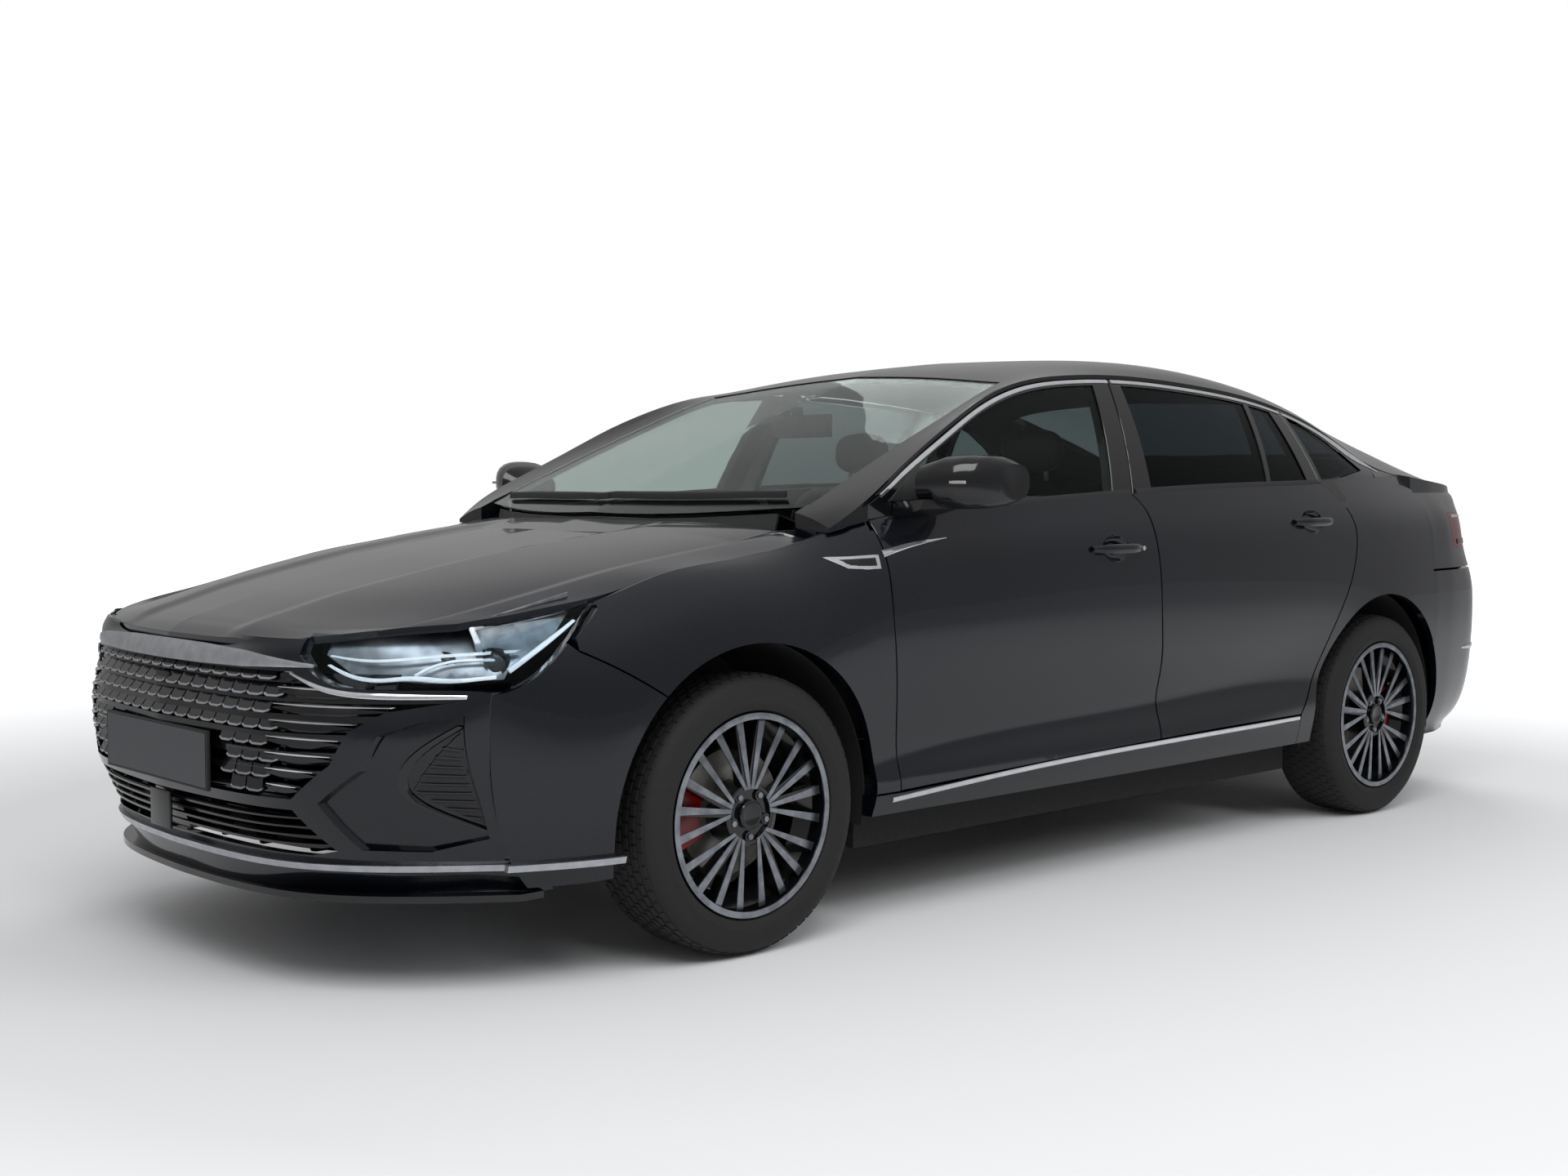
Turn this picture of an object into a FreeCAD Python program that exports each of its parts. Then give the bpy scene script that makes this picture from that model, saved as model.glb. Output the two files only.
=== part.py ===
import FreeCAD, Part
import math
import os
import re
import Sketcher
from FreeCAD import Vector, Rotation, Placement

doc = FreeCAD.newDocument("sedan")
sheet = doc.addObject("Spreadsheet::Sheet", "Sizes")

# Driving dimensions, millimetres, degrees and shares
SIZES = {
    # whole car
    "overall_length": 4800, "half_width": 915, "overall_height": 1487,
    "front_axle_x": 1350, "rear_axle_x": -1420, "track_half": 782.5,
    # body panels
    "panel_gap": 5, "skin_depth": 24, "door_depth": 112, "door_inset": 26, "frame_depth": 36,
    "frame_inset": 4, "belt_tuck": 12, "frame_width": 26, "frame_drop": 16, "bonnet_depth": 16,
    "roof_depth": 26, "bumper_depth": 26, "lap": 1, "sill_depth": 150, "glass_depth": 4.5, "glass_inset": 5, "screen_inset": 3, "wing_depth": 22,
    "arch_radius": 402, "cabin_bulge_share": .045, "overrun": 60, "seat_gap": .3,
    # tyres and wheels
    "tyre_radius": 330, "tyre_width": 225, "tyre_bead_radius": 229,
    "rim_radius": 239, "rim_width": 206, "rim_wall": 7, "rim_well_radius": 196, "hub_radius": 74,
    "spoke_face": 88, "spoke_depth": 34, "spoke_groups": 5, "spoke_root": 10, "spoke_tip": 24,
    "spoke_root_turn": 9, "spoke_tip_turn": 18,
    "disc_radius": 150, "disc_depth": 24, "disc_place": -10, "bead_seat": 14, "flange_depth": 8,
    # steering and axles
    "kingpin_y": 735, "liner_radius": 405, "liner_wall": 4, "front_liner_y": 480, "rear_liner_y": 615,
    "liner_outer_y": 835, "liner_foot_up": 250, "shaft_hole_radius": 75,
    "carrier_radius": 52, "carrier_depth": 44, "carrier_place": 700, "ball_radius": 15, "ball_up": 186,
    "stub_radius": 34, "upright_top_up": 425, "upright_width": 40,
    "caliper_outer": 182, "caliper_inner": 108, "caliper_angle": 48, "caliper_depth": 62, "disc_clearance": 5,
    "arm_root_y": 330, "arm_width": 60, "arm_depth": 26, "subframe_length": 320, "subframe_depth": 46,
    "strut_radius": 26, "strut_y": 600, "spring_radius": 62, "spring_foot_up": 664,
    "beam_radius": 38, "beam_ahead": 190, "trailing_arm_y": 520,
    # floor, engine and exhaust
    "floor_up": 205, "floor_wall": 14, "floor_start": 955, "floor_end": -1000, "floor_half": 690,
    "boot_step_x": -1165, "rocker_width": 105, "rocker_foot_up": 185, "rocker_height": 88,
    "tunnel_half": 130, "tunnel_rise": 120, "bulkhead_top": 1000, "boot_floor_up": 430,
    "boot_floor_end": -2230, "boot_floor_half": 611, "back_panel_height": 340,
    "shelf_up": 985, "shelf_start": -1180, "shelf_end": -1860,
    "engine_foot": 60, "engine_foot_y": 200,
    "hinge_pin_radius": 5, "hinge_ear": 12, "hinge_arm": 14,
    "bonnet_hinge_x": 1055, "bonnet_hinge_up": 965, "bonnet_hinge_y": 660, "bonnet_arm_length": 122,
    "cowl_half": 620, "cowl_sink": 24, "cowl_depth": 5, "cowl_lap": 14, "corner_fill_depth": 60,
    "corner_fill_y": 700, "corner_end_x": 1052,
    "boot_hinge_x": -1951, "boot_hinge_up": 1175, "boot_hinge_y": 300, "gutter_sink": 20, "gutter_depth": 12,
    "engine_length": 560, "engine_width": 640, "engine_height": 430, "engine_up": 330, "engine_x": 1240,
    "pipe_radius": 27, "silencer_radius": 95, "silencer_length": 560,
    # cabin
    "handle_length": 220, "handle_height": 26, "handle_proud": 30,
    "pillar_width": 38, "pillar_depth": 105, "pillar_sink": 32, "post_width": 62, "post_depth": 28,
    "seat_width": 470, "seat_y": 370, "seat_depth": 500, "seat_back_height": 640, "seat_cushion_up": 300,
    "seat_cushion_height": 170, "seat_x": 330, "seat_back_depth": 120, "headrest_width": 260,
    "headrest_height": 170, "headrest_depth": 90, "bench_width": 1180, "bench_x": -560, "bench_depth": 470,
    "bench_cushion_height": 160, "bench_back_height": 560,
    "dash_x": 955, "dash_depth": 260, "dash_height": 380, "dash_up": 590, "dash_half": 690,
    "console_length": 900, "console_half": 105, "console_height": 330,
    "wheel_radius": 182, "wheel_tube": 15, "wheel_x": 560, "wheel_up": 905, "wheel_tilt": 25,
    "shaft_radius": 17, "shaft_length": 90, "shroud_radius": 42, "shroud_length": 190,
    # nose
    "bar_height": 14, "bar_depth": 16, "bar_sink": 14, "web_sink": 27.5, "web_depth": 26, "web_width": 12,
    "backing_depth": 4, "backing_half": 660, "slat_height": 8, "cover_half": 55, "cover_sink": 8,
    "plate_length": 520, "plate_height": 121, "plate_depth": 10, "plate_foot": 433.5, "pocket_depth": 20,
    "blade_proud": 14,
    # cabin mirror
    "cabin_mirror_x": 360, "cabin_mirror_width": 230, "cabin_mirror_height": 66, "cabin_mirror_depth": 26,
    "cabin_mirror_up": 1232, "mirror_stem": 16,
    # lamps and shut lines of the ends
    "lamp_depth": 14, "tail_lamp_low_share": .585, "tail_lamp_high_share": .668,
}
for row, (alias, value) in enumerate(SIZES.items(), start=1):
    cell = "B%d" % row
    sheet.set("A%d" % row, alias)
    sheet.set(cell, str(value))
    sheet.setAlias(cell, alias)
doc.recompute()


def size(alias):
    return float(sheet.get(alias))


LENGTH = size("overall_length")
HALF = size("half_width")
HEIGHT = size("overall_height")


def spline(points):
    """Natural cubic spline through (place, value) points in rising order, straight past its ends."""
    count = len(points)
    xs = [point[0] for point in points]
    ys = [point[1] for point in points]
    gaps = [xs[i + 1] - xs[i] for i in range(count - 1)]
    bends = [0.0] * count
    lower = [0.0] * count
    middle = [1.0] * count
    upper = [0.0] * count
    right = [0.0] * count
    for i in range(1, count - 1):
        lower[i] = gaps[i - 1]
        middle[i] = 2 * (gaps[i - 1] + gaps[i])
        upper[i] = gaps[i]
        right[i] = 6 * ((ys[i + 1] - ys[i]) / gaps[i] - (ys[i] - ys[i - 1]) / gaps[i - 1])
    for i in range(1, count):
        factor = lower[i] / middle[i - 1]
        middle[i] -= factor * upper[i - 1]
        right[i] -= factor * right[i - 1]
    bends[-1] = right[-1] / middle[-1]
    for i in range(count - 2, -1, -1):
        bends[i] = (right[i] - upper[i] * bends[i + 1]) / middle[i]

    def value(x):
        if x <= xs[0]:
            slope = (ys[1] - ys[0]) / gaps[0] - gaps[0] * (2 * bends[0] + bends[1]) / 6
            return ys[0] + slope * (x - xs[0])
        if x >= xs[-1]:
            slope = (ys[-1] - ys[-2]) / gaps[-1] + gaps[-1] * (bends[-2] + 2 * bends[-1]) / 6
            return ys[-1] + slope * (x - xs[-1])
        i = max(k for k in range(count - 1) if xs[k] <= x)
        near = x - xs[i]
        far = xs[i + 1] - x
        curved = (bends[i] * far ** 3 + bends[i + 1] * near ** 3) / (6 * gaps[i])
        start = (ys[i] / gaps[i] - bends[i] * gaps[i] / 6) * far
        end = (ys[i + 1] / gaps[i] - bends[i + 1] * gaps[i] / 6) * near
        return curved + start + end

    return value


# Lines that run along the body side, from the edge under the glass down to the sill's foot:
# shares of the length forward, the half width out and the height up
SIDE_LINE_SHARES = (
    ((.420, .830, .530), (.365, .871, .562), (.323, .871, .601), (.281, .868, .619), (.240, .866, .639),
     (.198, .909, .674), (.146, .940, .693), (.062, .945, .706), (-.042, .945, .722), (-.146, .938, .732),
     (-.229, .923, .738), (-.296, .887, .748), (-.365, .838, .752), (-.417, .800, .738), (-.458, .751, .723)),
    ((.420, .850, .518), (.365, .905, .546), (.323, .909, .586), (.281, .910, .607), (.240, .910, .624),
     (.198, .938, .654), (.146, .958, .662), (.062, .962, .676), (-.042, .963, .689), (-.146, .958, .698),
     (-.229, .947, .703), (-.296, .923, .709), (-.365, .884, .714), (-.417, .849, .707), (-.458, .800, .699)),
    ((.420, .864, .495), (.365, .942, .511), (.323, .958, .551), (.281, .962, .572), (.240, .960, .588),
     (.198, .971, .615), (.146, .981, .625), (.062, .985, .638), (-.042, .986, .646), (-.146, .984, .651),
     (-.229, .978, .652), (-.296, .971, .656), (-.365, .949, .659), (-.417, .914, .662), (-.458, .860, .662)),
    ((.420, .872, .452), (.365, .962, .464), (.323, .981, .501), (.281, .988, .518), (.240, .986, .531),
     (.198, .988, .565), (.146, .991, .572), (.062, .993, .582), (-.042, .995, .588), (-.146, .993, .592),
     (-.229, .989, .592), (-.296, .981, .592), (-.365, .962, .592), (-.417, .925, .598), (-.458, .871, .605)),
    ((.420, .875, .385), (.365, .972, .390), (.323, .992, .430), (.281, .999, .451), (.240, .997, .464),
     (.198, .996, .484), (.146, .998, .491), (.062, .999, .498), (-.042, 1.0, .501), (-.146, 1.0, .504),
     (-.229, .999, .508), (-.296, .995, .514), (-.365, .979, .511), (-.417, .944, .514), (-.458, .890, .521)),
    ((.420, .874, .316), (.365, .974, .316), (.323, .990, .350), (.281, .995, .377), (.240, .990, .383),
     (.198, .986, .397), (.146, .986, .403), (.062, .986, .407), (-.042, .987, .410), (-.146, .988, .417),
     (-.229, .991, .430), (-.296, .996, .437), (-.365, .981, .430), (-.417, .947, .430), (-.458, .892, .437)),
    ((.420, .868, .266), (.365, .971, .266), (.323, .985, .289), (.281, .985, .309), (.240, .977, .313),
     (.198, .963, .309), (.146, .953, .316), (.062, .949, .326), (-.042, .947, .336), (-.146, .951, .350),
     (-.229, .968, .356), (-.296, .985, .363), (-.365, .974, .356), (-.417, .938, .356), (-.458, .884, .363)),
    ((.420, .860, .229), (.365, .966, .229), (.323, .979, .235), (.281, .977, .249), (.240, .972, .262),
     (.198, .962, .266), (.146, .951, .279), (.062, .944, .292), (-.042, .942, .301), (-.146, .947, .315),
     (-.229, .963, .309), (-.296, .977, .303), (-.365, .966, .289), (-.417, .930, .289), (-.458, .874, .296)),
    ((.420, .850, .195), (.365, .960, .195), (.323, .971, .202), (.281, .971, .208), (.240, .971, .222),
     (.198, .977, .235), (.146, .981, .241), (.062, .984, .246), (-.042, .985, .248), (-.146, .985, .253),
     (-.229, .979, .259), (-.296, .968, .242), (-.365, .952, .222), (-.417, .916, .222), (-.458, .860, .232)),
    ((.420, .827, .156), (.365, .938, .158), (.323, .949, .168), (.281, .949, .176), (.240, .951, .182),
     (.198, .951, .185), (.146, .952, .185), (.062, .953, .185), (-.042, .953, .185), (-.146, .953, .186),
     (-.229, .949, .187), (-.296, .942, .188), (-.365, .920, .176), (-.417, .871, .168), (-.458, .805, .176)),
)
# Lines along the hood, from its middle out to the shut line beside the wing
HOOD_LINE_SHARES = (
    ((.225, .000, .685), (.244, .000, .677), (.281, .000, .663), (.323, .000, .645), (.365, .000, .624),
     (.406, .000, .597), (.440, .000, .573), (.470, .000, .547), (.484, .000, .529), (.492, .000, .509)),
    ((.225, .300, .683), (.244, .300, .675), (.281, .300, .661), (.323, .300, .643), (.365, .300, .622),
     (.406, .300, .595), (.440, .298, .571), (.467, .296, .545), (.481, .294, .528), (.489, .292, .509)),
    ((.225, .560, .676), (.244, .558, .669), (.281, .555, .655), (.323, .550, .636), (.365, .545, .613),
     (.406, .540, .584), (.437, .535, .556), (.460, .530, .536), (.474, .526, .523), (.481, .524, .514)),
    ((.225, .740, .664), (.244, .740, .658), (.281, .738, .642), (.323, .732, .621), (.365, .722, .596),
     (.400, .708, .570), (.420, .698, .555), (.434, .690, .546), (.446, .683, .538), (.454, .678, .532)),
    ((.225, .866, .642), (.240, .866, .636), (.281, .868, .619), (.323, .871, .601), (.345, .868, .582),
     (.365, .856, .568), (.382, .838, .559), (.398, .815, .550), (.412, .795, .544), (.425, .775, .538)),
)
# Lines along the top over windscreen, roof and rear screen: middle, shoulder, glass edge, roof edge
TOP_LINE_SHARES = (
    ((.262, .000, .664), (.244, .000, .686), (.190, .000, .757), (.138, .000, .828), (.080, .000, .900),
     (.031, .000, .956), (.000, .000, .977), (-.031, .000, .990), (-.073, .000, 1.0), (-.135, .000, .997),
     (-.188, .000, .981), (-.242, .000, .954), (-.294, .000, .915), (-.348, .000, .864), (-.406, .000, .800),
     (-.455, .000, .748), (-.490, .000, .716)),
    ((.262, .400, .655), (.242, .400, .679), (.190, .390, .748), (.138, .385, .820), (.080, .380, .891),
     (.031, .375, .948), (.000, .375, .971), (-.031, .375, .985), (-.073, .375, .996), (-.135, .375, .993),
     (-.188, .370, .977), (-.242, .365, .949), (-.294, .365, .909), (-.348, .370, .858), (-.406, .380, .795),
     (-.455, .385, .744), (-.490, .385, .712)),
    ((.262, .820, .634), (.220, .780, .692), (.184, .757, .739), (.146, .738, .790), (.094, .715, .856),
     (.042, .680, .925), (.000, .658, .957), (-.031, .656, .973), (-.073, .656, .983), (-.135, .655, .980),
     (-.188, .645, .965), (-.242, .634, .938), (-.294, .628, .900), (-.348, .634, .850), (-.406, .656, .788),
     (-.455, .678, .738), (-.490, .670, .708)),
    ((.262, .850, .600), (.222, .882, .658), (.195, .923, .714), (.164, .880, .766), (.127, .847, .827),
     (.085, .803, .888), (.044, .776, .927), (.005, .765, .943), (-.052, .760, .950), (-.119, .760, .942),
     (-.183, .760, .924), (-.220, .765, .904), (-.271, .798, .850), (-.324, .836, .775), (-.359, .845, .755),
     (-.410, .806, .740), (-.458, .751, .723), (-.490, .700, .700)),
)
# Plan curves of the front end at rising heights: height share, then (half width share, length share)
FRONT_PLAN_SHARES = (
    (.148, ((.000, .484), (.328, .479), (.546, .461), (.710, .433), (.820, .405), (.874, .392))),
    (.202, ((.000, .488), (.328, .484), (.546, .472), (.710, .447), (.820, .421), (.874, .406))),
    (.269, ((.000, .496), (.328, .492), (.546, .482), (.710, .459), (.820, .430), (.874, .411))),
    (.336, ((.000, .500), (.328, .496), (.546, .487), (.710, .466), (.820, .438), (.874, .417))),
    (.404, ((.000, .499), (.328, .495), (.546, .487), (.710, .467), (.820, .440), (.874, .420))),
    (.444, ((.000, .497), (.328, .493), (.546, .484), (.710, .463), (.820, .436), (.874, .419))),
    (.484, ((.000, .494), (.328, .491), (.546, .481), (.710, .457), (.820, .428), (.874, .409))),
    (.518, ((.000, .490), (.328, .487), (.546, .477), (.710, .444), (.820, .405), (.874, .385))),
    (.551, ((.000, .485), (.328, .482), (.546, .462), (.710, .421), (.820, .375), (.874, .355))),
)
# Rear end: plan curve round the corner, then how far each height stands forward of it
REAR_PLAN_SHARES = (
    (.000, -.5000), (.200, -.4990), (.400, -.4960), (.560, -.4910), (.680, -.4840), (.780, -.4750),
    (.850, -.4640), (.900, -.4500), (.930, -.4350), (.948, -.4170), (.964, -.3960), (.979, -.3650),
)
REAR_PROFILE_SHARES = (
    (.148, .022), (.190, .009), (.240, .003), (.300, .000), (.440, .000), (.520, .003),
    (.560, .008), (.600, .011), (.660, .011), (.690, .008), (.712, .005), (.730, .012),
)


def line_curves(lines):
    """Outward and upward splines along the length, one pair for each feature line."""
    curves = []
    for line in lines:
        points = sorted(line)
        outward = spline([(LENGTH * p[0], HALF * p[1]) for p in points])
        upward = spline([(LENGTH * p[0], HEIGHT * p[2]) for p in points])
        curves.append((outward, upward))
    return curves


def blend(points, place):
    """Point of a clamped uniform cubic curve over the given corner points, place from 0 to 1."""
    corners = [points[0]] * 2 + list(points) + [points[-1]] * 2
    spans = len(corners) - 3
    step = min(max(place, 0), 1) * spans
    first = min(int(step), spans - 1)
    t = step - first
    weights = ((1 - t) ** 3 / 6, (3 * t ** 3 - 6 * t * t + 4) / 6,
               (-3 * t ** 3 + 3 * t * t + 3 * t + 1) / 6, t ** 3 / 6)
    return tuple(sum(weights[k] * corners[first + k][axis] for k in range(4))
                 for axis in range(len(points[0])))


def section_point(curves, x, place):
    y, z = blend([(outward(x), upward(x)) for outward, upward in curves], place)
    return Vector(x, y, z)


SIDE = line_curves(SIDE_LINE_SHARES)
HOOD = line_curves(HOOD_LINE_SHARES)
TOP = line_curves(TOP_LINE_SHARES)
TAIL = spline([(HEIGHT * z, LENGTH * x) for z, x in REAR_PROFILE_SHARES])
# End of the master lines


def steps(low, high, count):
    return [low + (high - low) * i / count for i in range(count + 1)]


HALVINGS = 30


def side_out(x, z):
    """How far out the body side lies at a place along the car and a height."""
    low, high = 0.0, 1.0
    for _ in range(HALVINGS):
        middle = (low + high) / 2
        if section_point(SIDE, x, middle).z > z:
            low = middle
        else:
            high = middle
    return section_point(SIDE, x, (low + high) / 2).y


def top_up(x, y):
    """Height of the roof and screens at a place along the car and a distance from its middle."""
    low, high = 0.0, 1.0
    for _ in range(HALVINGS):
        middle = (low + high) / 2
        if section_point(TOP, x, middle).y < abs(y):
            low = middle
        else:
            high = middle
    return section_point(TOP, x, (low + high) / 2).z


def cabin_out(x, climb):
    """Point of the glass side between the belt, climb 0, and the roof edge, climb 1."""
    (belt_out, belt_up), (roof_out, roof_up) = SIDE[0], TOP[3]
    rise = roof_up(x) - belt_up(x)
    bulge = size("cabin_bulge_share") * rise * 4 * climb * (1 - climb)
    y = belt_out(x) + (roof_out(x) - belt_out(x)) * climb + bulge
    return Vector(x, y, belt_up(x) + rise * climb)


def grid_face(rows):
    surface = Part.BSplineSurface()
    surface.interpolate(rows)
    return surface.toShape()


def slab(rows, inward):
    return grid_face(rows).extrude(inward)


def edge_through(points):
    if len(points) == 2:
        return Part.makeLine(points[0], points[1])
    curve = Part.BSplineCurve()
    curve.interpolate(points)
    return curve.toShape()


def straight(points):
    """Straight runs from corner to corner."""
    return [[points[i], points[i + 1]] for i in range(len(points) - 1)]


def prism(stretches, lift, sweep):
    """Solid over a closed outline: two flat points make a straight run, more make a smooth one."""
    edges = []
    for i, stretch in enumerate(stretches):
        follower = stretches[(i + 1) % len(stretches)][0]
        edges.append(edge_through([lift(*point) for point in stretch]))
        if math.dist(stretch[-1], follower) > 0:
            edges.append(Part.makeLine(lift(*stretch[-1]), lift(*follower)))
    wire = Part.Wire(Part.__sortEdges__(edges))
    return Part.Face(wire).extrude(sweep)


def side_prism(stretches):
    """Prism through the left half of the car from an outline of (x, z) points."""
    reach = HALF + size("overrun")
    return prism(stretches, lambda x, z: Vector(x, 0, z), Vector(0, reach, 0))


def plan_prism(stretches):
    """Prism through the whole height from an outline of (x, y) points."""
    reach = HEIGHT + size("overrun")
    return prism(stretches, lambda x, y: Vector(x, y, 0), Vector(0, 0, reach))


def along(shares, shift=0, rise=0):
    """Points from (length share, height share) pairs, moved forward by shift and up by rise."""
    return [(LENGTH * a + shift, HEIGHT * b + rise) for a, b in shares]


def feature(label, shape):
    made = doc.addObject("Part::Feature", label)
    made.Label = label
    made.Shape = shape
    made.Placement = Placement()
    return made


def mirrored(label, source):
    other = doc.addObject("Part::Mirroring", label)
    other.Label = label
    other.Source = source
    other.Normal = Vector(0, 1, 0)
    return other


def bind(made, **sizes):
    for name, rule in sizes.items():
        made.setExpression(name, rule)
    return made


def place(made, x="0", y="0", z="0"):
    made.setExpression(".Placement.Base.x", x)
    made.setExpression(".Placement.Base.y", y)
    made.setExpression(".Placement.Base.z", z)
    return made


def new_body(label):
    return doc.addObject("PartDesign::Body", label)


def sketch_on(body, role, name, lift="0"):
    sketch = body.newObject("Sketcher::SketchObject", name)
    plane = [item for item in body.Origin.OriginFeatures if item.Role == role][0]
    sketch.AttachmentSupport = [(plane, "")]
    sketch.MapMode = "FlatFace"
    sketch.setExpression(".AttachmentOffset.Base.z", lift)
    return sketch


def hold(sketch, kind, geometry, point, rule):
    """Constrain one coordinate of a point to a rule on the sheet's sizes."""
    value = evaluate(rule)
    number = sketch.addConstraint(Sketcher.Constraint(kind, -1, 1, geometry, point, value))
    sketch.setExpression("Constraints[%d]" % number, rule)


def evaluate(rule):
    return float(sheet.evalExpression(rule))


def draw(sketch, corners):
    """Closed outline whose corners are pairs of rules on the sheet's sizes."""
    places = [Vector(evaluate(a), evaluate(b), 0) for a, b in corners]
    count = len(corners)
    lines = [sketch.addGeometry(Part.LineSegment(places[i], places[(i + 1) % count]), False)
             for i in range(count)]
    for i in range(count):
        sketch.addConstraint(Sketcher.Constraint("Coincident", lines[i], 2, lines[(i + 1) % count], 1))
    for i, (across, up) in enumerate(corners):
        hold(sketch, "DistanceX", lines[i], 1, across)
        hold(sketch, "DistanceY", lines[i], 1, up)


def pad(body, sketch, length, both_ways=False):
    made = body.newObject("PartDesign::Pad", sketch.Name + "_pad")
    made.Profile = sketch
    made.setExpression("Length", length)
    if both_ways:
        made.SideType = "Symmetric"
    return made


def revolve(body, sketch, axis):
    made = body.newObject("PartDesign::Revolution", sketch.Name + "_turned")
    made.Profile = sketch
    made.ReferenceAxis = (sketch, [axis])
    made.Angle = 360
    return made


def repeat_round(body, source, role, count):
    """Copies of a feature round one of the body's axes."""
    made = body.newObject("PartDesign::PolarPattern", source.Name + "_round")
    made.Originals = [source]
    axis = [item for item in body.Origin.OriginFeatures if item.Role == role][0]
    made.Axis = (axis, [""])
    made.Angle = 360
    made.setExpression("Occurrences", count)
    body.Tip = made
    return made


# Shut lines, as (length share, height share) from the top down
DOOR_FRONT_SHARES = ((.1955, .7120), (.1950, .6900), (.1935, .6600), (.1905, .5400),
                     (.1860, .4000), (.1820, .3000), (.1800, .2240))
PILLAR_TOP_SHARES = ((-.0385, .9500), (-.0201, .7146))
PILLAR_LINE_SHARES = ((-.0201, .7146), (-.0270, .6950), (-.0320, .6500), (-.0356, .5700), (-.0380, .4700),
                      (-.0425, .3900), (-.0445, .3100), (-.0436, .2440))
REAR_DOOR_TOP_SHARES = ((-.2220, .9020), (-.2300, .7400))
REAR_DOOR_LINE_SHARES = ((-.2300, .7400), (-.2400, .7200), (-.2540, .6800), (-.2588, .6350), (-.2558, .5820),
                         (-.2460, .5150), (-.2330, .4500), (-.2200, .3750), (-.2085, .3050), (-.1960, .2500))
WING_LAMP_SHARES = ((.3630, .5590), (.3790, .5183))
WING_BUMPER_SHARES = ((.3790, .4962), (.3600, .4650), (.3330, .4130))
DOOR_FOOT_SHARES = ((.1800, .2240), (.0600, .2360), (-.0436, .2440))
REAR_DOOR_FOOT_SHARES = ((-.0436, .2440), (-.1200, .2480), (-.1960, .2500))
# Window outlines, as (length share, height share)
FRONT_GLASS_SHARES = ((.1640, .7190), (.0600, .7140), (-.0020, .7180))
REAR_GLASS_SHARES = ((-.0400, .7280), (-.1000, .7310), (-.1650, .7370))
VENT_GLASS_SHARES = ((-.1700, .7380), (-.2150, .7420))
QUARTER_GLASS_SHARES = ((-.2345, .7450), (-.2650, .7500), (-.3000, .7660), (-.2680, .8300), (-.2270, .8920))


ARCH = size("arch_radius")
REACH = size("overrun")
GAP = size("panel_gap")
HALF_GAP = GAP / 2
FRONT_AXLE = size("front_axle_x")
REAR_AXLE = size("rear_axle_x")
HUB_UP = size("tyre_radius")
SKIN = size("skin_depth")
SEAT = size("seat_gap")
LAP = size("lap")


def roof_edge(start, end, drop, count=6):
    """Points of the roof edge seen from the side, between two places along the car."""
    return [(x, TOP[3][1](x) - drop) for x in steps(start, end, count)]


def belt_up(x):
    return SIDE[0][1](x)


def arch_cutter(axle_x):
    return Part.makeCylinder(ARCH, 2 * HALF + REACH, Vector(axle_x, -HALF - REACH / 2, HUB_UP), Vector(0, 1, 0))


def clear_of_liners(shape, axle_x):
    """Shape with room for the wheelhouse liner round one axle."""
    reach = size("liner_outer_y") + SEAT
    around = Part.makeCylinder(size("liner_radius") + size("liner_wall") + HALF_GAP, 2 * reach,
                               Vector(axle_x, -reach, HUB_UP), Vector(0, 1, 0))
    return shape.cut(around)


def side_slab(start, end, depth, sink=0):
    rows = [[section_point(SIDE, x, down) - Vector(0, sink, 0) for down in steps(0, 1, 22)]
            for x in steps(start, end, 24)]
    return slab(rows, Vector(0, -depth, 0))


def cabin_slab(start, end, depth, sink):
    rows = [[cabin_out(x, climb) - Vector(0, sink, 0) for climb in steps(-.08, 1.04, 9)]
            for x in steps(start, end, 22)]
    return slab(rows, Vector(0, -depth, 0))


def fused(shapes):
    return shapes[0].fuse(shapes[1:])


def shrunk(outline, clearance):
    """Outline drawn in towards its middle, so that a pane lies just inside its frame."""
    corners = [point for stretch in outline for point in stretch]
    middle_x = sum(x for x, z in corners) / len(corners)
    middle_z = sum(z for x, z in corners) / len(corners)

    def drawn_in(x, z):
        factor = 1 - clearance / math.hypot(x - middle_x, z - middle_z)
        return middle_x + (x - middle_x) * factor, middle_z + (z - middle_z) * factor

    return [[drawn_in(x, z) for x, z in stretch] for stretch in outline]


def glass_outline(foot_shares, top_rear_share, top_front_share):
    """Window seen from the side: foot points, then a top edge that follows the roof edge."""
    drop = size("frame_width") + GAP
    top = roof_edge(LENGTH * top_rear_share, LENGTH * top_front_share, drop, 7)
    return straight(along(foot_shares)) + [top]


def pane(outline, start, end):
    sink = size("frame_inset") + size("glass_inset")
    sheet_of_glass = cabin_slab(start, end, size("glass_depth"), sink)
    return sheet_of_glass.common(side_prism(shrunk(outline, 5 * SEAT)))


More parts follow.
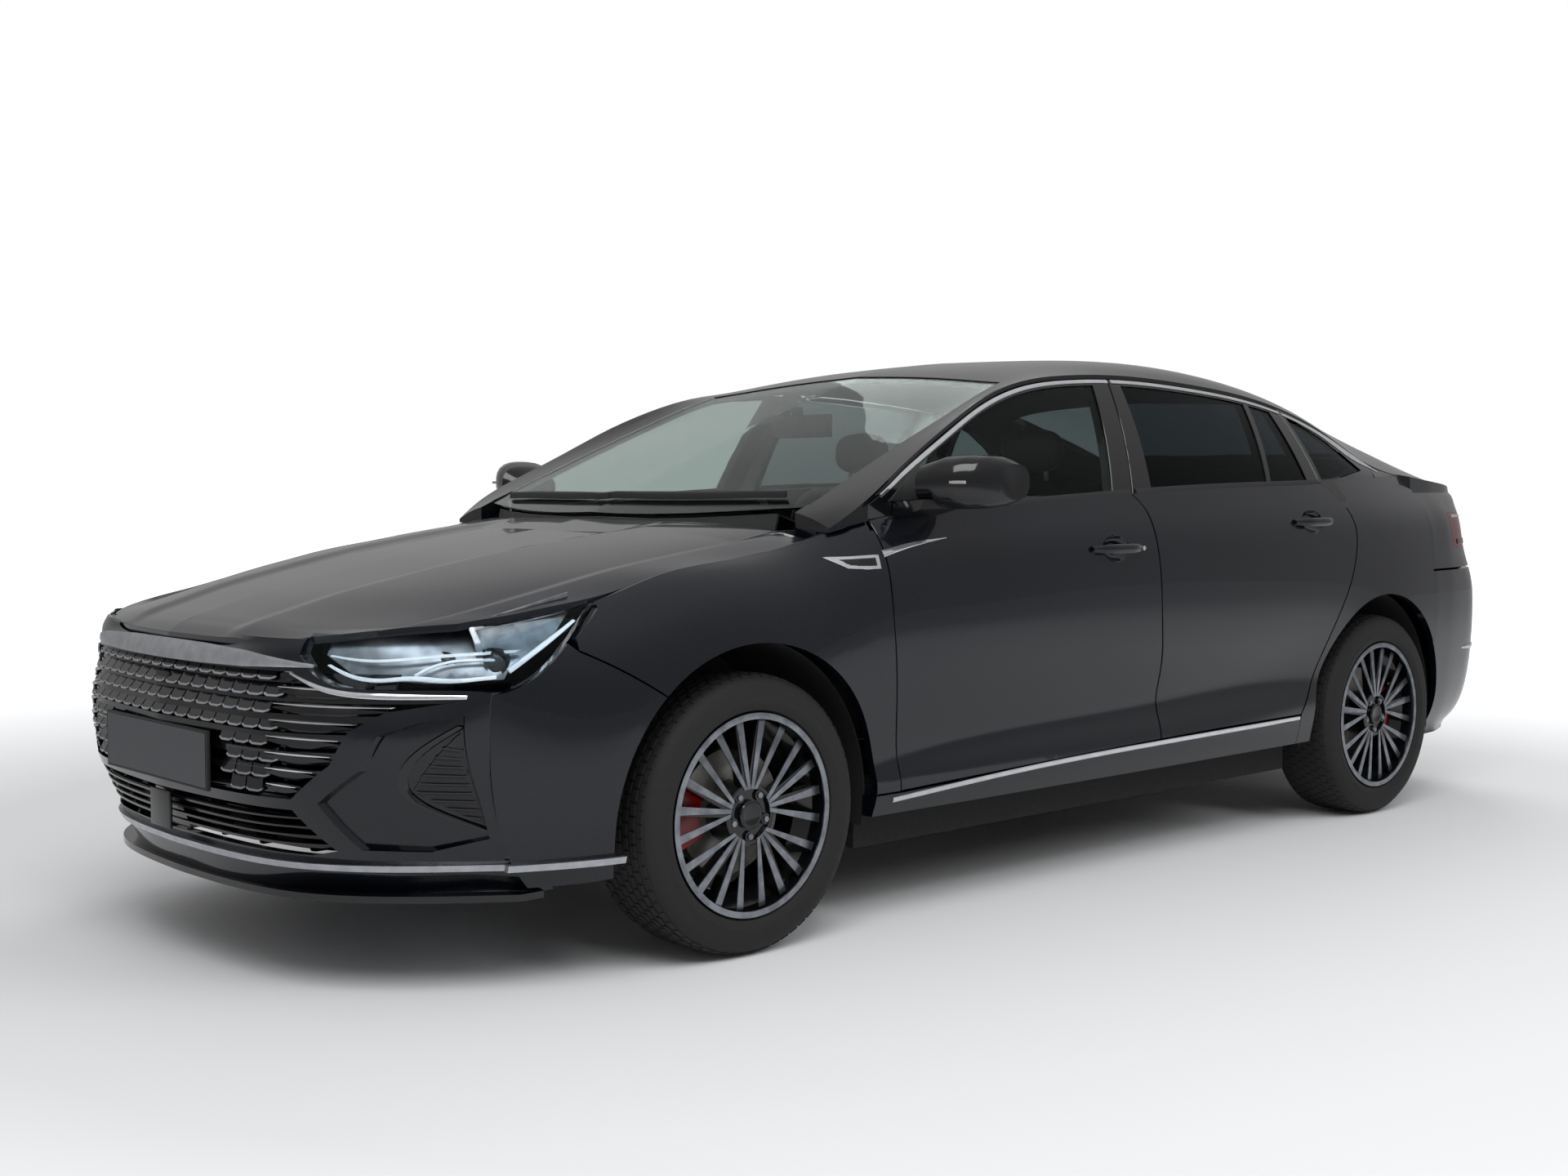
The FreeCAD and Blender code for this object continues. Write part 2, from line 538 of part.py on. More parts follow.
def door_shape(front_line, foot_line, rear_line, upper_foot, upper_rear, upper_front, windows):
    """Left door: outer skin, deep inner half below the belt, slim frame round the glass."""
    start = LENGTH * front_line[0][0] + REACH
    end = LENGTH * min(point[0] for point in rear_line) - REACH
    front = along(front_line, -HALF_GAP)
    rear = along(rear_line, HALF_GAP)[::-1]
    foot = [front[-1]] + along(foot_line)[1:-1] + [rear[0]]
    over = HEIGHT * front_line[0][1] + REACH
    lid = straight([rear[-1], (rear[-1][0], over), (front[0][0], over), front[0]])
    skin = side_slab(start, end, SKIN).common(side_prism([front, foot, rear] + lid))
    inset = size("door_inset")
    inner_front = along(front_line[1:-1], -HALF_GAP - inset)
    inner_rear = along(rear_line[1:-1], HALF_GAP + inset)[::-1]
    inner_foot = [(front[-1][0] - inset, front[-1][1] + inset), (rear[0][0] + inset, rear[0][1] + inset)]
    beside_post = size("post_width") / 2 + GAP
    rear_x = max(LENGTH * rear_line[0][0] + beside_post, inner_rear[-1][0])
    front_x = min(LENGTH * front_line[0][0] - beside_post, inner_front[0][0])
    lid = straight([inner_rear[-1], (rear_x, inner_rear[-1][1]), (rear_x, over), (front_x, over), inner_front[0]])
    lining = side_slab(start, end, size("door_depth") - SKIN + LAP, SKIN - LAP)
    lining = lining.common(side_prism([inner_front, inner_foot, inner_rear] + lid))
    frame = cabin_slab(min(start, LENGTH * upper_front + REACH), end, size("frame_depth"), size("frame_inset"))
    tuck = size("belt_tuck")
    frame_foot = [(LENGTH * a + shift, belt_up(LENGTH * a + shift) - tuck)
                  for a, shift in ((upper_front, -HALF_GAP), (upper_foot, HALF_GAP))]
    frame_top = roof_edge(LENGTH * upper_rear + HALF_GAP, frame_foot[0][0], size("frame_drop"), 8)
    if upper_front < 0:
        frame_foot[0] = (LENGTH * PILLAR_TOP_SHARES[1][0] - HALF_GAP, frame_foot[0][1])
    frame = frame.common(side_prism([frame_foot, frame_top]))
    for window in windows:
        frame = frame.cut(side_prism(window))
    return fused([skin, lining, frame])


FRONT_WINDOW = glass_outline(FRONT_GLASS_SHARES, -.0215, .1560)
REAR_WINDOW = glass_outline(REAR_GLASS_SHARES, -.1790, -.0490)
VENT_WINDOW = glass_outline(VENT_GLASS_SHARES, -.2090, -.1850)


def front_plan(height):
    """Spline of how far forward the nose reaches, by distance from the middle, at one height."""
    shares = [share for share, _ in FRONT_PLAN_SHARES]
    columns = [spline([(share, plan[k][1]) for share, plan in FRONT_PLAN_SHARES])
               for k in range(len(FRONT_PLAN_SHARES[0][1]))]
    level = min(max(height / HEIGHT, shares[0]), shares[-1])
    return spline([(HALF * FRONT_PLAN_SHARES[0][1][k][0], LENGTH * columns[k](level))
                   for k in range(len(columns))])


def nose_slab(low, high, depth, sink=0, reach_share=.874, count=14):
    """Front face from side to side between two heights."""
    rows = []
    for z in steps(low, high, count):
        plan = front_plan(z)
        rows.append([Vector(plan(abs(y)) - sink, y, z) for y in steps(-HALF * reach_share, HALF * reach_share, 24)])
    return slab(rows, Vector(-depth, 0, 0))


def tail_point(place_, z):
    """Point of the rear end, from the middle, place 0, round the corner to the wheel arch, place 1."""
    plan_out = spline([(i / (len(REAR_PLAN_SHARES) - 1), HALF * p[0]) for i, p in enumerate(REAR_PLAN_SHARES)])
    plan_back = spline([(i / (len(REAR_PLAN_SHARES) - 1), LENGTH * p[1]) for i, p in enumerate(REAR_PLAN_SHARES)])
    handover = LENGTH * REAR_PLAN_SHARES[-2][1]
    narrowing = side_out(handover, z) / (HALF * REAR_PLAN_SHARES[-2][0])
    x = plan_back(place_)
    lean = TAIL(z) * min(max((handover - x) / (LENGTH * .04), 0), 1)
    return Vector(x + lean, plan_out(place_) * narrowing, z)


def tail_slab(low, high, depth, start=0, end=1, sink=0):
    """Left half of the rear end between two heights, thickened diagonally inwards."""
    rows = [[tail_point(place_, z) + Vector(sink, -sink, 0) for place_ in steps(start, end, 26)]
            for z in steps(low, high, 12)]
    return slab(rows, Vector(depth, -depth, 0) * math.sqrt(.5))


def both_halves(left):
    return left.fuse(left.mirror(Vector(0, 0, 0), Vector(0, 1, 0)))


def top_rows(start, end, edge=1.0, sink=0, count=24):
    rows = []
    for x in steps(start, end, count):
        half = [section_point(TOP, x, out) - Vector(0, 0, sink) for out in steps(0, edge, 12)]
        rows.append([Vector(p.x, -p.y, p.z) for p in half[:0:-1]] + half)
    return rows


def top_slab(start, end, depth, edge=1.0, sink=0):
    return slab(top_rows(start, end, edge, sink), Vector(0, 0, -depth))


def glass_edge(start, end, inset, count=8):
    """Plan points along the side of a screen, from start to end along the car."""
    return [(x, TOP[2][0](x) - inset) for x in steps(start, end, count)]


def screen_outline(base_middle, base_side, head_side, head_middle, inset):
    """Plan outline of a screen: crowned base and head, sides that follow the glass edge."""
    side = glass_edge(LENGTH * base_side, LENGTH * head_side, inset)
    base = [(x, -y) for x, y in side[:1]] + [(LENGTH * base_middle, 0)] + side[:1]
    head = side[-1:] + [(LENGTH * head_middle, 0)] + [(x, -y) for x, y in side[-1:]]
    return [base, side, head, [(x, -y) for x, y in side[::-1]]]


WINDSCREEN_SHARES = (.2420, .2100, .0400, .0290)
REAR_SCREEN_SHARES = (-.3960, -.3800, -.2620, -.2560)

# Bonnet: its lines end at the nose, so the slab already has its outline
BONNET_REAR_SHARES = (.2500, .2470, .2380, .2290, .2230)
BONNET_NOSE_SHARES = [line[-1][0] for line in HOOD_LINE_SHARES]


def bonnet_point(out, run, side_gap, lead=0):
    """Point of the bonnet: out from the middle, run from its rear edge to its nose."""
    corners = []
    for k, (outward, upward) in enumerate(HOOD):
        rear = LENGTH * BONNET_REAR_SHARES[k] - lead
        x = rear + (LENGTH * BONNET_NOSE_SHARES[k] - rear) * run
        corners.append((x, outward(x) - (side_gap if k == len(HOOD) - 1 else 0), upward(x)))
    return Vector(*blend(corners, out))


def bonnet_slab(depth, side_gap, rise=0, lead=0):
    rows = []
    for run in steps(0, 1, 26):
        half = [bonnet_point(out, run, side_gap, lead) + Vector(0, 0, rise) for out in steps(0, 1, 14)]
        rows.append([Vector(p.x, -p.y, p.z) for p in half[:0:-1]] + half)
    return slab(rows, Vector(0, 0, -depth))


# Roof, pillars, quarters, sills and the rear corners
ROOF_START = LENGTH * .2300
ROOF_END = LENGTH * -.4034
BOOT_START = LENGTH * -.4080
BOOT_END = LENGTH * -.4880
BOOT_HALF = HALF * .6000
TAIL_JOIN = LENGTH * -.3650
roof = top_slab(ROOF_START, BOOT_END, size("roof_depth"))
for shares in (WINDSCREEN_SHARES, REAR_SCREEN_SHARES):
    roof = roof.cut(plan_prism(screen_outline(*shares, 0)))


def box_between(low_x, high_x, low_y, high_y, low_z=0, high_z=HEIGHT):
    return Part.makeBox(high_x - low_x, high_y - low_y, high_z - low_z, Vector(low_x, low_y, low_z))


def over_doors():
    """Room for the door frames under the roof's left edge."""
    drop = size("frame_drop") - GAP
    inward = REACH + size("frame_inset") + size("frame_depth") + GAP - 1
    front, rear = LENGTH * .1955 + HALF_GAP, LENGTH * REAR_DOOR_TOP_SHARES[0][0] - HALF_GAP
    outline = straight([(rear, HEIGHT * .6500), (front, HEIGHT * .6500)]) + [
        roof_edge(front, rear, drop, 14)]
    return cabin_slab(LENGTH * .2050, LENGTH * -.2400, inward, -REACH).common(side_prism(outline))


def over_wing():
    """Room for the left wing's top flange under the foot of the windscreen pillar."""
    top_run = [(x, belt_up(x) + LAP) for x in steps(LENGTH * .1900, LENGTH * .2400, 6)]
    outline = [top_run] + straight([
        top_run[-1], (LENGTH * .2400, HEIGHT / 2), (LENGTH * .1900, HEIGHT / 2), top_run[0]])
    return side_prism(outline).common(box_between(0, LENGTH, size("corner_fill_y") + 75, HALF))


corner_end = size("corner_end_x")
fill_y = size("corner_fill_y")
glass_corner = LENGTH * WINDSCREEN_SHARES[1]
roof = roof.cut(box_between(-LENGTH, ROOF_END, -BOOT_HALF - GAP, BOOT_HALF + GAP))
tail_edge = [(point.x, point.y) for point in [tail_point(place_, HEIGHT * .7050) for place_ in steps(0, 1, 20)]]
far = [tail_edge[-1], (tail_edge[-1][0], HALF + REACH), (-LENGTH, HALF + REACH), (-LENGTH, 0), tail_edge[0]]
beyond_tail = plan_prism([tail_edge] + straight(far))
beyond_tail = beyond_tail.fuse(beyond_tail.mirror(Vector(0, 0, 0), Vector(0, 1, 0)))
roof = roof.cut(beyond_tail)
roof = roof.cut(box_between(corner_end, LENGTH, -HALF, HALF))
roof = roof.cut(box_between(glass_corner, LENGTH, -fill_y, fill_y))
corner_fill = top_slab(LENGTH * .1956 + HALF_GAP, LENGTH * .2300, size("corner_fill_depth"), 1, 12)
corner_fill = corner_fill.common(box_between(0, corner_end - 1, fill_y + 1, HALF)).cut(over_wing())
for room in (over_doors(), over_wing()):
    roof = roof.cut(room).cut(room.mirror(Vector(0, 0, 0), Vector(0, 1, 0)))
quarter_foot = HEIGHT * .1600
quarter_head = HEIGHT * .7800
quarter_outline = [along(REAR_DOOR_LINE_SHARES, -HALF_GAP)] + straight([
    (LENGTH * REAR_DOOR_LINE_SHARES[-1][0] - HALF_GAP, quarter_foot), (TAIL_JOIN - SEAT, quarter_foot),
    (TAIL_JOIN - SEAT, quarter_head), (LENGTH * REAR_DOOR_LINE_SHARES[0][0] - HALF_GAP, quarter_head)])
quarter = side_slab(LENGTH * -.1900, LENGTH * -.3700, SKIN).common(side_prism(quarter_outline))
quarter = clear_of_liners(quarter.cut(arch_cutter(REAR_AXLE)), REAR_AXLE)
QUARTER_END = LENGTH * -.3560
quarter_top = cabin_slab(LENGTH * -.2200, QUARTER_END, size("frame_depth"), size("frame_inset"))
quarter_top = quarter_top.common(side_prism([
    along(REAR_DOOR_TOP_SHARES, -HALF_GAP),
    [(LENGTH * REAR_DOOR_LINE_SHARES[1][0] - GAP, HEIGHT * REAR_DOOR_LINE_SHARES[1][1]),
     (QUARTER_END, HEIGHT * .7400)],
    roof_edge(QUARTER_END, LENGTH * REAR_DOOR_TOP_SHARES[0][0] - HALF_GAP, 0, 8)]))
QUARTER_WINDOW = straight(along(QUARTER_GLASS_SHARES))
quarter_top = quarter_top.cut(side_prism(QUARTER_WINDOW))
SILL_SHARES = ((.1980, .1500), (-.1960, .1500), (-.1960, .2450), (-.0436, .2405), (.1780, .2200),
               (.1980, .2200))
SILL_JOINT_SHARES = ((-.2104, .1950), (-.1880, .2290))
sill = side_slab(LENGTH * .2050, LENGTH * -.2100, size("sill_depth")).common(side_prism(straight(
    along(SILL_SHARES + SILL_SHARES[:1]))))
sill = clear_of_liners(sill.cut(arch_cutter(FRONT_AXLE)), FRONT_AXLE)
(joint_rear, joint_low), (joint_front, joint_high) = along(SILL_JOINT_SHARES)
sill_joint = box_between(joint_rear, joint_front, HALF - size("sill_depth"), HALF * .9400, joint_low,
                         joint_high)
beside_boot = Part.makeBox(LENGTH, HALF, HEIGHT, Vector(-LENGTH, BOOT_HALF + GAP, 0))
upper_tail = tail_slab(HEIGHT * .5400, HEIGHT * .7150, SKIN, .26, 1).common(beside_boot)
lamp_low = HEIGHT * size("tail_lamp_low_share")
lamp_high = HEIGHT * size("tail_lamp_high_share")
upper_tail = upper_tail.cut(tail_slab(lamp_low - SEAT, lamp_high + SEAT, size("lamp_depth") + 2 * LAP, .24, .86, -1))
gutter_end = size("boot_hinge_x") + 3.2 * size("hinge_pin_radius")
gutter = top_slab(LENGTH * -.3850, gutter_end, size("gutter_depth"), 1, size("gutter_sink"))
gutter = gutter.common(Part.makeBox(LENGTH, BOOT_HALF + REACH, HEIGHT, Vector(-LENGTH, 0, 0)))


def pin_rod(radius, start_y, length, x, z):
    return Part.makeCylinder(radius, length, Vector(x, start_y, z), Vector(0, 1, 0))


def boot_ears():
    """Two ears and the pin between them, on the gutter."""
    pin, ear, arm = size("hinge_pin_radius"), size("hinge_ear"), size("hinge_arm")
    x, y, z = size("boot_hinge_x"), size("boot_hinge_y"), size("boot_hinge_up")
    long = 5 * pin
    pieces = [pin_rod(pin - 1, y - arm / 2 - ear, arm + 2 * ear, x, z)]
    for start in (y - arm / 2 - SEAT - ear, y + arm / 2 + SEAT):
        pieces.append(Part.makeBox(long, ear, 5 * pin, Vector(x - pin / 2, start, z - 4 * pin)))
    return fused(pieces)


def boot_arm():
    """Eye of the boot lid round the hinge pin."""
    pin, arm = size("hinge_pin_radius"), size("hinge_arm")
    x, y, z = size("boot_hinge_x"), size("boot_hinge_y"), size("boot_hinge_up")
    block_ = Part.makeBox(6.7 * pin, arm, 3 * pin, Vector(x - 5.4 * pin, y - arm / 2, z - 1.8 * pin))
    return block_.cut(pin_rod(pin - 1 + SEAT, y - arm, 2 * arm, x, z))


pillar_half = size("pillar_width") / 2
pillar_line = [(-.0240, .7030)] + list(PILLAR_LINE_SHARES[1:])
pillar = side_slab(LENGTH * .0100, LENGTH * -.0600, size("pillar_depth"), size("pillar_sink"))
pillar = pillar.common(side_prism([along(pillar_line, pillar_half), along(pillar_line[::-1], -pillar_half)]))
post_half = size("post_width") / 2
post_sink = size("frame_inset") + size("frame_depth") + GAP
post = cabin_slab(LENGTH * .0200, LENGTH * -.0700, size("post_depth"), post_sink)
post = post.common(side_prism(straight(
    along(PILLAR_TOP_SHARES, post_half) + [(LENGTH * -.0201 + post_half, HEIGHT * .6950),
                                           (LENGTH * -.0201 - post_half, HEIGHT * .6950)]
    + along(PILLAR_TOP_SHARES[::-1], -post_half))))
left_side = fused([quarter, sill_joint, sill, quarter_top, upper_tail, gutter, pillar, post, boot_ears()])
left_side = left_side.fuse(corner_fill)
feature("body_shell", fused([roof, left_side, left_side.mirror(Vector(0, 0, 0), Vector(0, 1, 0))]))

# Doors, their panes and the fixed side windows
DOORS = (
    ("front", (DOOR_FRONT_SHARES, DOOR_FOOT_SHARES, PILLAR_LINE_SHARES, -.0201, -.0385, .1955),
     [FRONT_WINDOW], .1900, -.0600),
    ("rear", (PILLAR_LINE_SHARES, REAR_DOOR_FOOT_SHARES, REAR_DOOR_LINE_SHARES, -.2300, -.2220, -.0385),
     [REAR_WINDOW, VENT_WINDOW], -.0200, -.2300),
)
HANDLES = {"front": (.0060, .6160), "rear": (-.2060, .6560)}


def handle_bar(length_share, height_share):
    """Grip that stands off the door, joined to it at both ends."""
    x, z = LENGTH * length_share, HEIGHT * height_share
    long, tall, proud = size("handle_length"), size("handle_height"), size("handle_proud")
    out = side_out(x, z)
    grip = Part.makeBox(long, proud + GAP, tall, Vector(x - long / 2, out - GAP, z - tall / 2))
    gap = Part.makeBox(long - 2 * tall, proud, tall, Vector(x - long / 2 + tall, out - proud / 2, z - tall / 2))
    return grip.cut(gap.translated(Vector(0, 0, -tall / 2)))


MIRROR_SHARES = ((.890, .660, .840, 1.045, 1.150), (.960, .620, .820, 1.035, 1.168),
                 (1.040, .600, .760, 1.040, 1.165), (1.065, .570, .680, 1.060, 1.140))


def mirror_shape():
    """Housing through four oval sections, on a foot from the door's shoulder."""
    wires = []
    for out, rear, front, low, high in MIRROR_SHARES:
        y = HALF * out / .915
        middle = Vector(LENGTH * (rear + front) / 9.6, y, HEIGHT * (low + high) / 2.974)
        half_long, half_tall = LENGTH * (front - rear) / 9.6, HEIGHT * (high - low) / 2.974
        points = []
        for step in range(12):
            turn = math.pi * step / 6
            across, up = math.cos(turn), math.sin(turn)
            power = (abs(across) ** 3 + abs(up) ** 3) ** (-1 / 3)
            points.append(middle + Vector(half_long * across * power, 0, half_tall * up * power))
        curve = Part.BSplineCurve()
        curve.interpolate(points, PeriodicFlag=True)
        wires.append(Part.Wire(curve.toShape()))
    housing = Part.makeLoft(wires, True)
    foot = Part.makeBox(LENGTH * .0230, HALF * .0900, HEIGHT * .0300,
                        Vector(LENGTH * .1530, HALF * .9250, HEIGHT * .6900))
    return housing.fuse(foot)


for end, lines, windows, pane_start, pane_end in DOORS:
    door = door_shape(*lines, windows).fuse(handle_bar(*HANDLES[end]))
    if end == "front":
        door = door.fuse(mirror_shape())
    left = feature("door_%s_left" % end, door)
    mirrored("door_%s_right" % end, left)
    panes = [pane(window, LENGTH * pane_start, LENGTH * pane_end) for window in windows]
    left = feature("glass_%s_left" % end, Part.makeCompound(panes))
    mirrored("glass_%s_right" % end, left)
quarter_pane = pane(QUARTER_WINDOW, LENGTH * -.2200, LENGTH * -.3200)
quarter_pane = quarter_pane.cut(roof.translated(Vector(0, 0, -HALF_GAP)))
feature("quarter_windows", Part.makeCompound(
    [quarter_pane, quarter_pane.mirror(Vector(0, 0, 0), Vector(0, 1, 0))]))

# Windscreen and rear screen
for label, shares, start, end in (("windscreen", WINDSCREEN_SHARES, .2500, .0200),
                                  ("rear_screen", REAR_SCREEN_SHARES, -.2500, -.4000)):
    screen_sheet = top_slab(LENGTH * start, LENGTH * end, size("glass_depth"), .9, size("screen_inset"))
    feature(label, screen_sheet.common(plan_prism(screen_outline(*shares, SEAT))))

# Bonnet
def bonnet_arm():
    """Arm under the bonnet, with the eye round its hinge pin."""
    pin, arm_ = size("hinge_pin_radius"), size("hinge_arm")
    x, y, z = size("bonnet_hinge_x"), size("bonnet_hinge_y"), size("bonnet_hinge_up")
    bar = Part.makeBox(size("bonnet_arm_length"), arm_, 4.8 * pin, Vector(x - 2.4 * pin, y - arm_ / 2, z - 2.4 * pin))
    hole = Part.makeCylinder(pin + SEAT, 2 * arm_, Vector(x, y - arm_, z), Vector(0, 1, 0))
    return bar.cut(hole)


def cowl_station(y):
    """Outline of the scuttle at a distance from the middle: gutter, wall up to the glass, shelf."""
    edge = bonnet_point(abs(y) / (HALF * HOOD_LINE_SHARES[-1][0][1]), 0, GAP)
    corner_y = TOP[2][0](LENGTH * WINDSCREEN_SHARES[1])
    middle_x, corner_x = LENGTH * WINDSCREEN_SHARES[0], LENGTH * WINDSCREEN_SHARES[1]
    glass_x = middle_x - (middle_x - corner_x) * (y / corner_y) ** 2
    glass_z = top_up(glass_x, y) - size("screen_inset") - size("glass_depth") - 2 * SEAT
    low = edge.z - size("cowl_sink")
    lap, depth = size("cowl_lap"), size("cowl_depth")
    shelf_x, shelf_z = size("floor_start") + size("floor_wall") + SEAT, size("bulkhead_top")
    top = [(edge.x - 2 * GAP, low), (glass_x + lap, low), (glass_x - lap / 2, glass_z - lap / 2),
           (shelf_x, shelf_z)]
    under = [(shelf_x, shelf_z - depth), (glass_x - lap / 2 - depth, glass_z - lap / 2 - depth),
             (glass_x + lap - depth, low - depth), (edge.x - 2 * GAP, low - depth)]
    points = [Vector(x, y, z) for x, z in top + under]
    return Part.makePolygon(points + points[:1])


cowl_half = size("cowl_half")
feature("cowl", Part.makeLoft([cowl_station(y) for y in steps(-cowl_half, cowl_half, 16)], True, True))
arm = bonnet_arm()
feature("bonnet", fused([bonnet_slab(size("bonnet_depth"), GAP), arm,
                         arm.mirror(Vector(0, 0, 0), Vector(0, 1, 0))]))

# Front wings, rebated under the bonnet's edge
wing_foot = HEIGHT * .1500
wing_head = HEIGHT * .7120
wing_outline = [along(DOOR_FRONT_SHARES[::-1], HALF_GAP)] + straight([
    (LENGTH * .1955 + HALF_GAP, wing_head), (LENGTH * .3630, wing_head)]) + [
    along(WING_LAMP_SHARES, 0, -GAP), along(WING_BUMPER_SHARES, 0, HALF_GAP)] + straight([
        (LENGTH * .3330, HEIGHT * .4130), (LENGTH * .3100, wing_foot), (LENGTH * .1980 + HALF_GAP, wing_foot),
        (LENGTH * .1980 + HALF_GAP, HEIGHT * .2240), (LENGTH * .1800 + HALF_GAP, HEIGHT * .2240)])
wing = side_slab(LENGTH * .1700, LENGTH * .3900, size("wing_depth")).common(side_prism(wing_outline))
rebate = bonnet_slab(size("bonnet_depth") + 2 * REACH + GAP, HALF_GAP, 2 * REACH, REACH)
wing = clear_of_liners(wing.cut(arch_cutter(FRONT_AXLE)), FRONT_AXLE).cut(rebate)
wing = wing.cut(box_between(0, LENGTH * .1955 + HALF_GAP, 0, HALF, HEIGHT * .6600, HEIGHT))
left_wing = feature("wing_front_left", wing)
mirrored("wing_front_right", left_wing)

# Front bumper, headlamps and splitter
LAMP_FRONT_SHARES = ((.560, .4960), (.640, .4560), (.760, .4480), (.880, .4420))
LAMP_SIDE_SHARES = ((.3630, .5590), (.3850, .5030), (.4050, .4520), (.4300, .4430))


def nose_prism(stretches):
    """Prism along the car from an outline of (half width share, height share) points on the left."""
    scaled = [[(HALF * a, HEIGHT * b) for a, b in stretch] for stretch in stretches]
    return prism(scaled, lambda y, z: Vector(0, y, z), Vector(LENGTH, 0, 0))


under_bonnet = bonnet_slab(size("bonnet_depth") + REACH + GAP, 0, REACH)
nose = nose_slab(HEIGHT * .1480, HEIGHT * .5180, size("bumper_depth")).cut(under_bonnet)
side_edge = HALF * FRONT_PLAN_SHARES[0][1][-1][0]
cheek = side_slab(LENGTH * .3000, LENGTH * .4200, size("bumper_depth")).common(side_prism(
    [along(WING_BUMPER_SHARES[::-1], 0, -HALF_GAP)] + straight([
        (LENGTH * .3790, HEIGHT * .4962 - HALF_GAP), (LENGTH * .3870, HEIGHT * .5180), (LENGTH * .4300, HEIGHT * .5180),
        (LENGTH * .4300, HEIGHT * .1400), (LENGTH * .3100, HEIGHT * .1400),
        (LENGTH * .3330, HEIGHT * .4130 - HALF_GAP)])))
cheek = clear_of_liners(cheek.cut(arch_cutter(FRONT_AXLE)), FRONT_AXLE)
cheek = cheek.cut(nose_slab(HEIGHT * .1300, HEIGHT * .5300, 3 * REACH + GAP, -3 * REACH))
lamp_front = nose_prism([LAMP_FRONT_SHARES, [(.880, .6000), (.560, .6000)]])
lamp_side = side_prism([along(LAMP_SIDE_SHARES)] + straight([
    (LENGTH * .4300, HEIGHT * .6000), (LENGTH * .3630, HEIGHT * .6000)]))
bumper = fused([nose.cut(lamp_front), cheek.cut(lamp_side)])
bumper = bumper.cut(lamp_front.mirror(Vector(0, 0, 0), Vector(0, 1, 0)))
other_cheek = cheek.cut(lamp_side).mirror(Vector(0, 0, 0), Vector(0, 1, 0))
bumper = bumper.fuse(other_cheek)

# Mouths and corner pockets of the bumper, as (half width share, height share) down the left half
UPPER_MOUTH_SHARES = (((.546, .4720), (.639, .4490), (.765, .4400), (.835, .4390)),
                      ((.835, .4310), (.749, .4180), (.694, .3910), (.656, .3440), (.552, .2905)))
LOWER_MOUTH_SHARES = (((.546, .2745),), ((.607, .2140), (.546, .2050)))
POCKET_SHARES = ((.612, .2860), (.705, .3350), (.743, .3850), (.798, .4035), (.847, .4115), (.847, .2320),
                 (.765, .2140), (.656, .2165))


def mouth(shares, inset=0):
    """Prism through the nose from the left half's upper and lower corners, drawn in by an inset."""
    upper, lower = [[(a - 2 * inset / HALF, b + way * inset / HEIGHT) for a, b in run]
                    for run, way in zip(shares, (-1, 1))]
    left = upper + lower
    ring_ = left + [(-a, b) for a, b in left[::-1]]
    return nose_prism(straight(ring_ + ring_[:1]))


pocket = nose_slab(HEIGHT * .1900, HEIGHT * .4300, size("pocket_depth") + REACH, -REACH).common(
    nose_prism(straight(POCKET_SHARES + POCKET_SHARES[:1])))
for opening in (mouth(UPPER_MOUTH_SHARES), mouth(LOWER_MOUTH_SHARES), pocket,
                pocket.mirror(Vector(0, 0, 0), Vector(0, 1, 0))):
    bumper = bumper.cut(opening)
feature("front_bumper", bumper)

# Grille: bars and slats on upright webs, a backing behind them, a radar cover and the blank number plate
WEB_Y_SHARES = (-.680, -.520, -.350, -.180, 0, .180, .350, .520, .680)


def nose_bars(low_share, high_share, count, tall, opening):
    bars = []
    for middle in steps(HEIGHT * low_share, HEIGHT * high_share, count - 1):
        bar = nose_slab(middle - tall / 2, middle + tall / 2, size("bar_depth"), size("bar_sink"), .874, 2)
        bars.append(bar.common(opening))
    return bars


webs_face = nose_slab(HEIGHT * .2070, HEIGHT * .4680, size("web_depth"), size("web_sink"))
web_half = size("web_width") / 2
webs = [webs_face.common(box_between(0, LENGTH, HALF * share - web_half, HALF * share + web_half))
        for share in WEB_Y_SHARES]
backing_half, cover_half = size("backing_half"), size("cover_half")
backing = nose_slab(HEIGHT * .2070, HEIGHT * .4680, size("backing_depth"),
                    size("web_sink") + size("web_depth") - size("backing_depth") / 2)
backing = backing.common(box_between(0, LENGTH, -backing_half, backing_half))
cover = nose_slab(HEIGHT * .2090, HEIGHT * .2700, size("web_sink"), size("cover_sink")).common(
    box_between(0, LENGTH, -cover_half, cover_half))
grille = backing.fuse(webs)
for bars in (nose_bars(.3020, .4600, 7, size("bar_height"), mouth(UPPER_MOUTH_SHARES, LAP)),
             nose_bars(.2180, .2620, 4, size("slat_height"), mouth(LOWER_MOUTH_SHARES, LAP)), [cover]):
    grille = grille.fuse(bars)
plate_foot = size("plate_foot")
plate_back = front_plan(plate_foot + size("plate_height") / 2)(0) - size("bar_sink") + SEAT
plate_half = size("plate_length") / 2
plate = box_between(plate_back, plate_back + size("plate_depth"), -plate_half, plate_half,
                    plate_foot, plate_foot + size("plate_height"))
grille = both_halves(grille.common(box_between(0, LENGTH, -HALF, 0)))
feature("grille", Part.makeCompound([grille, plate]))

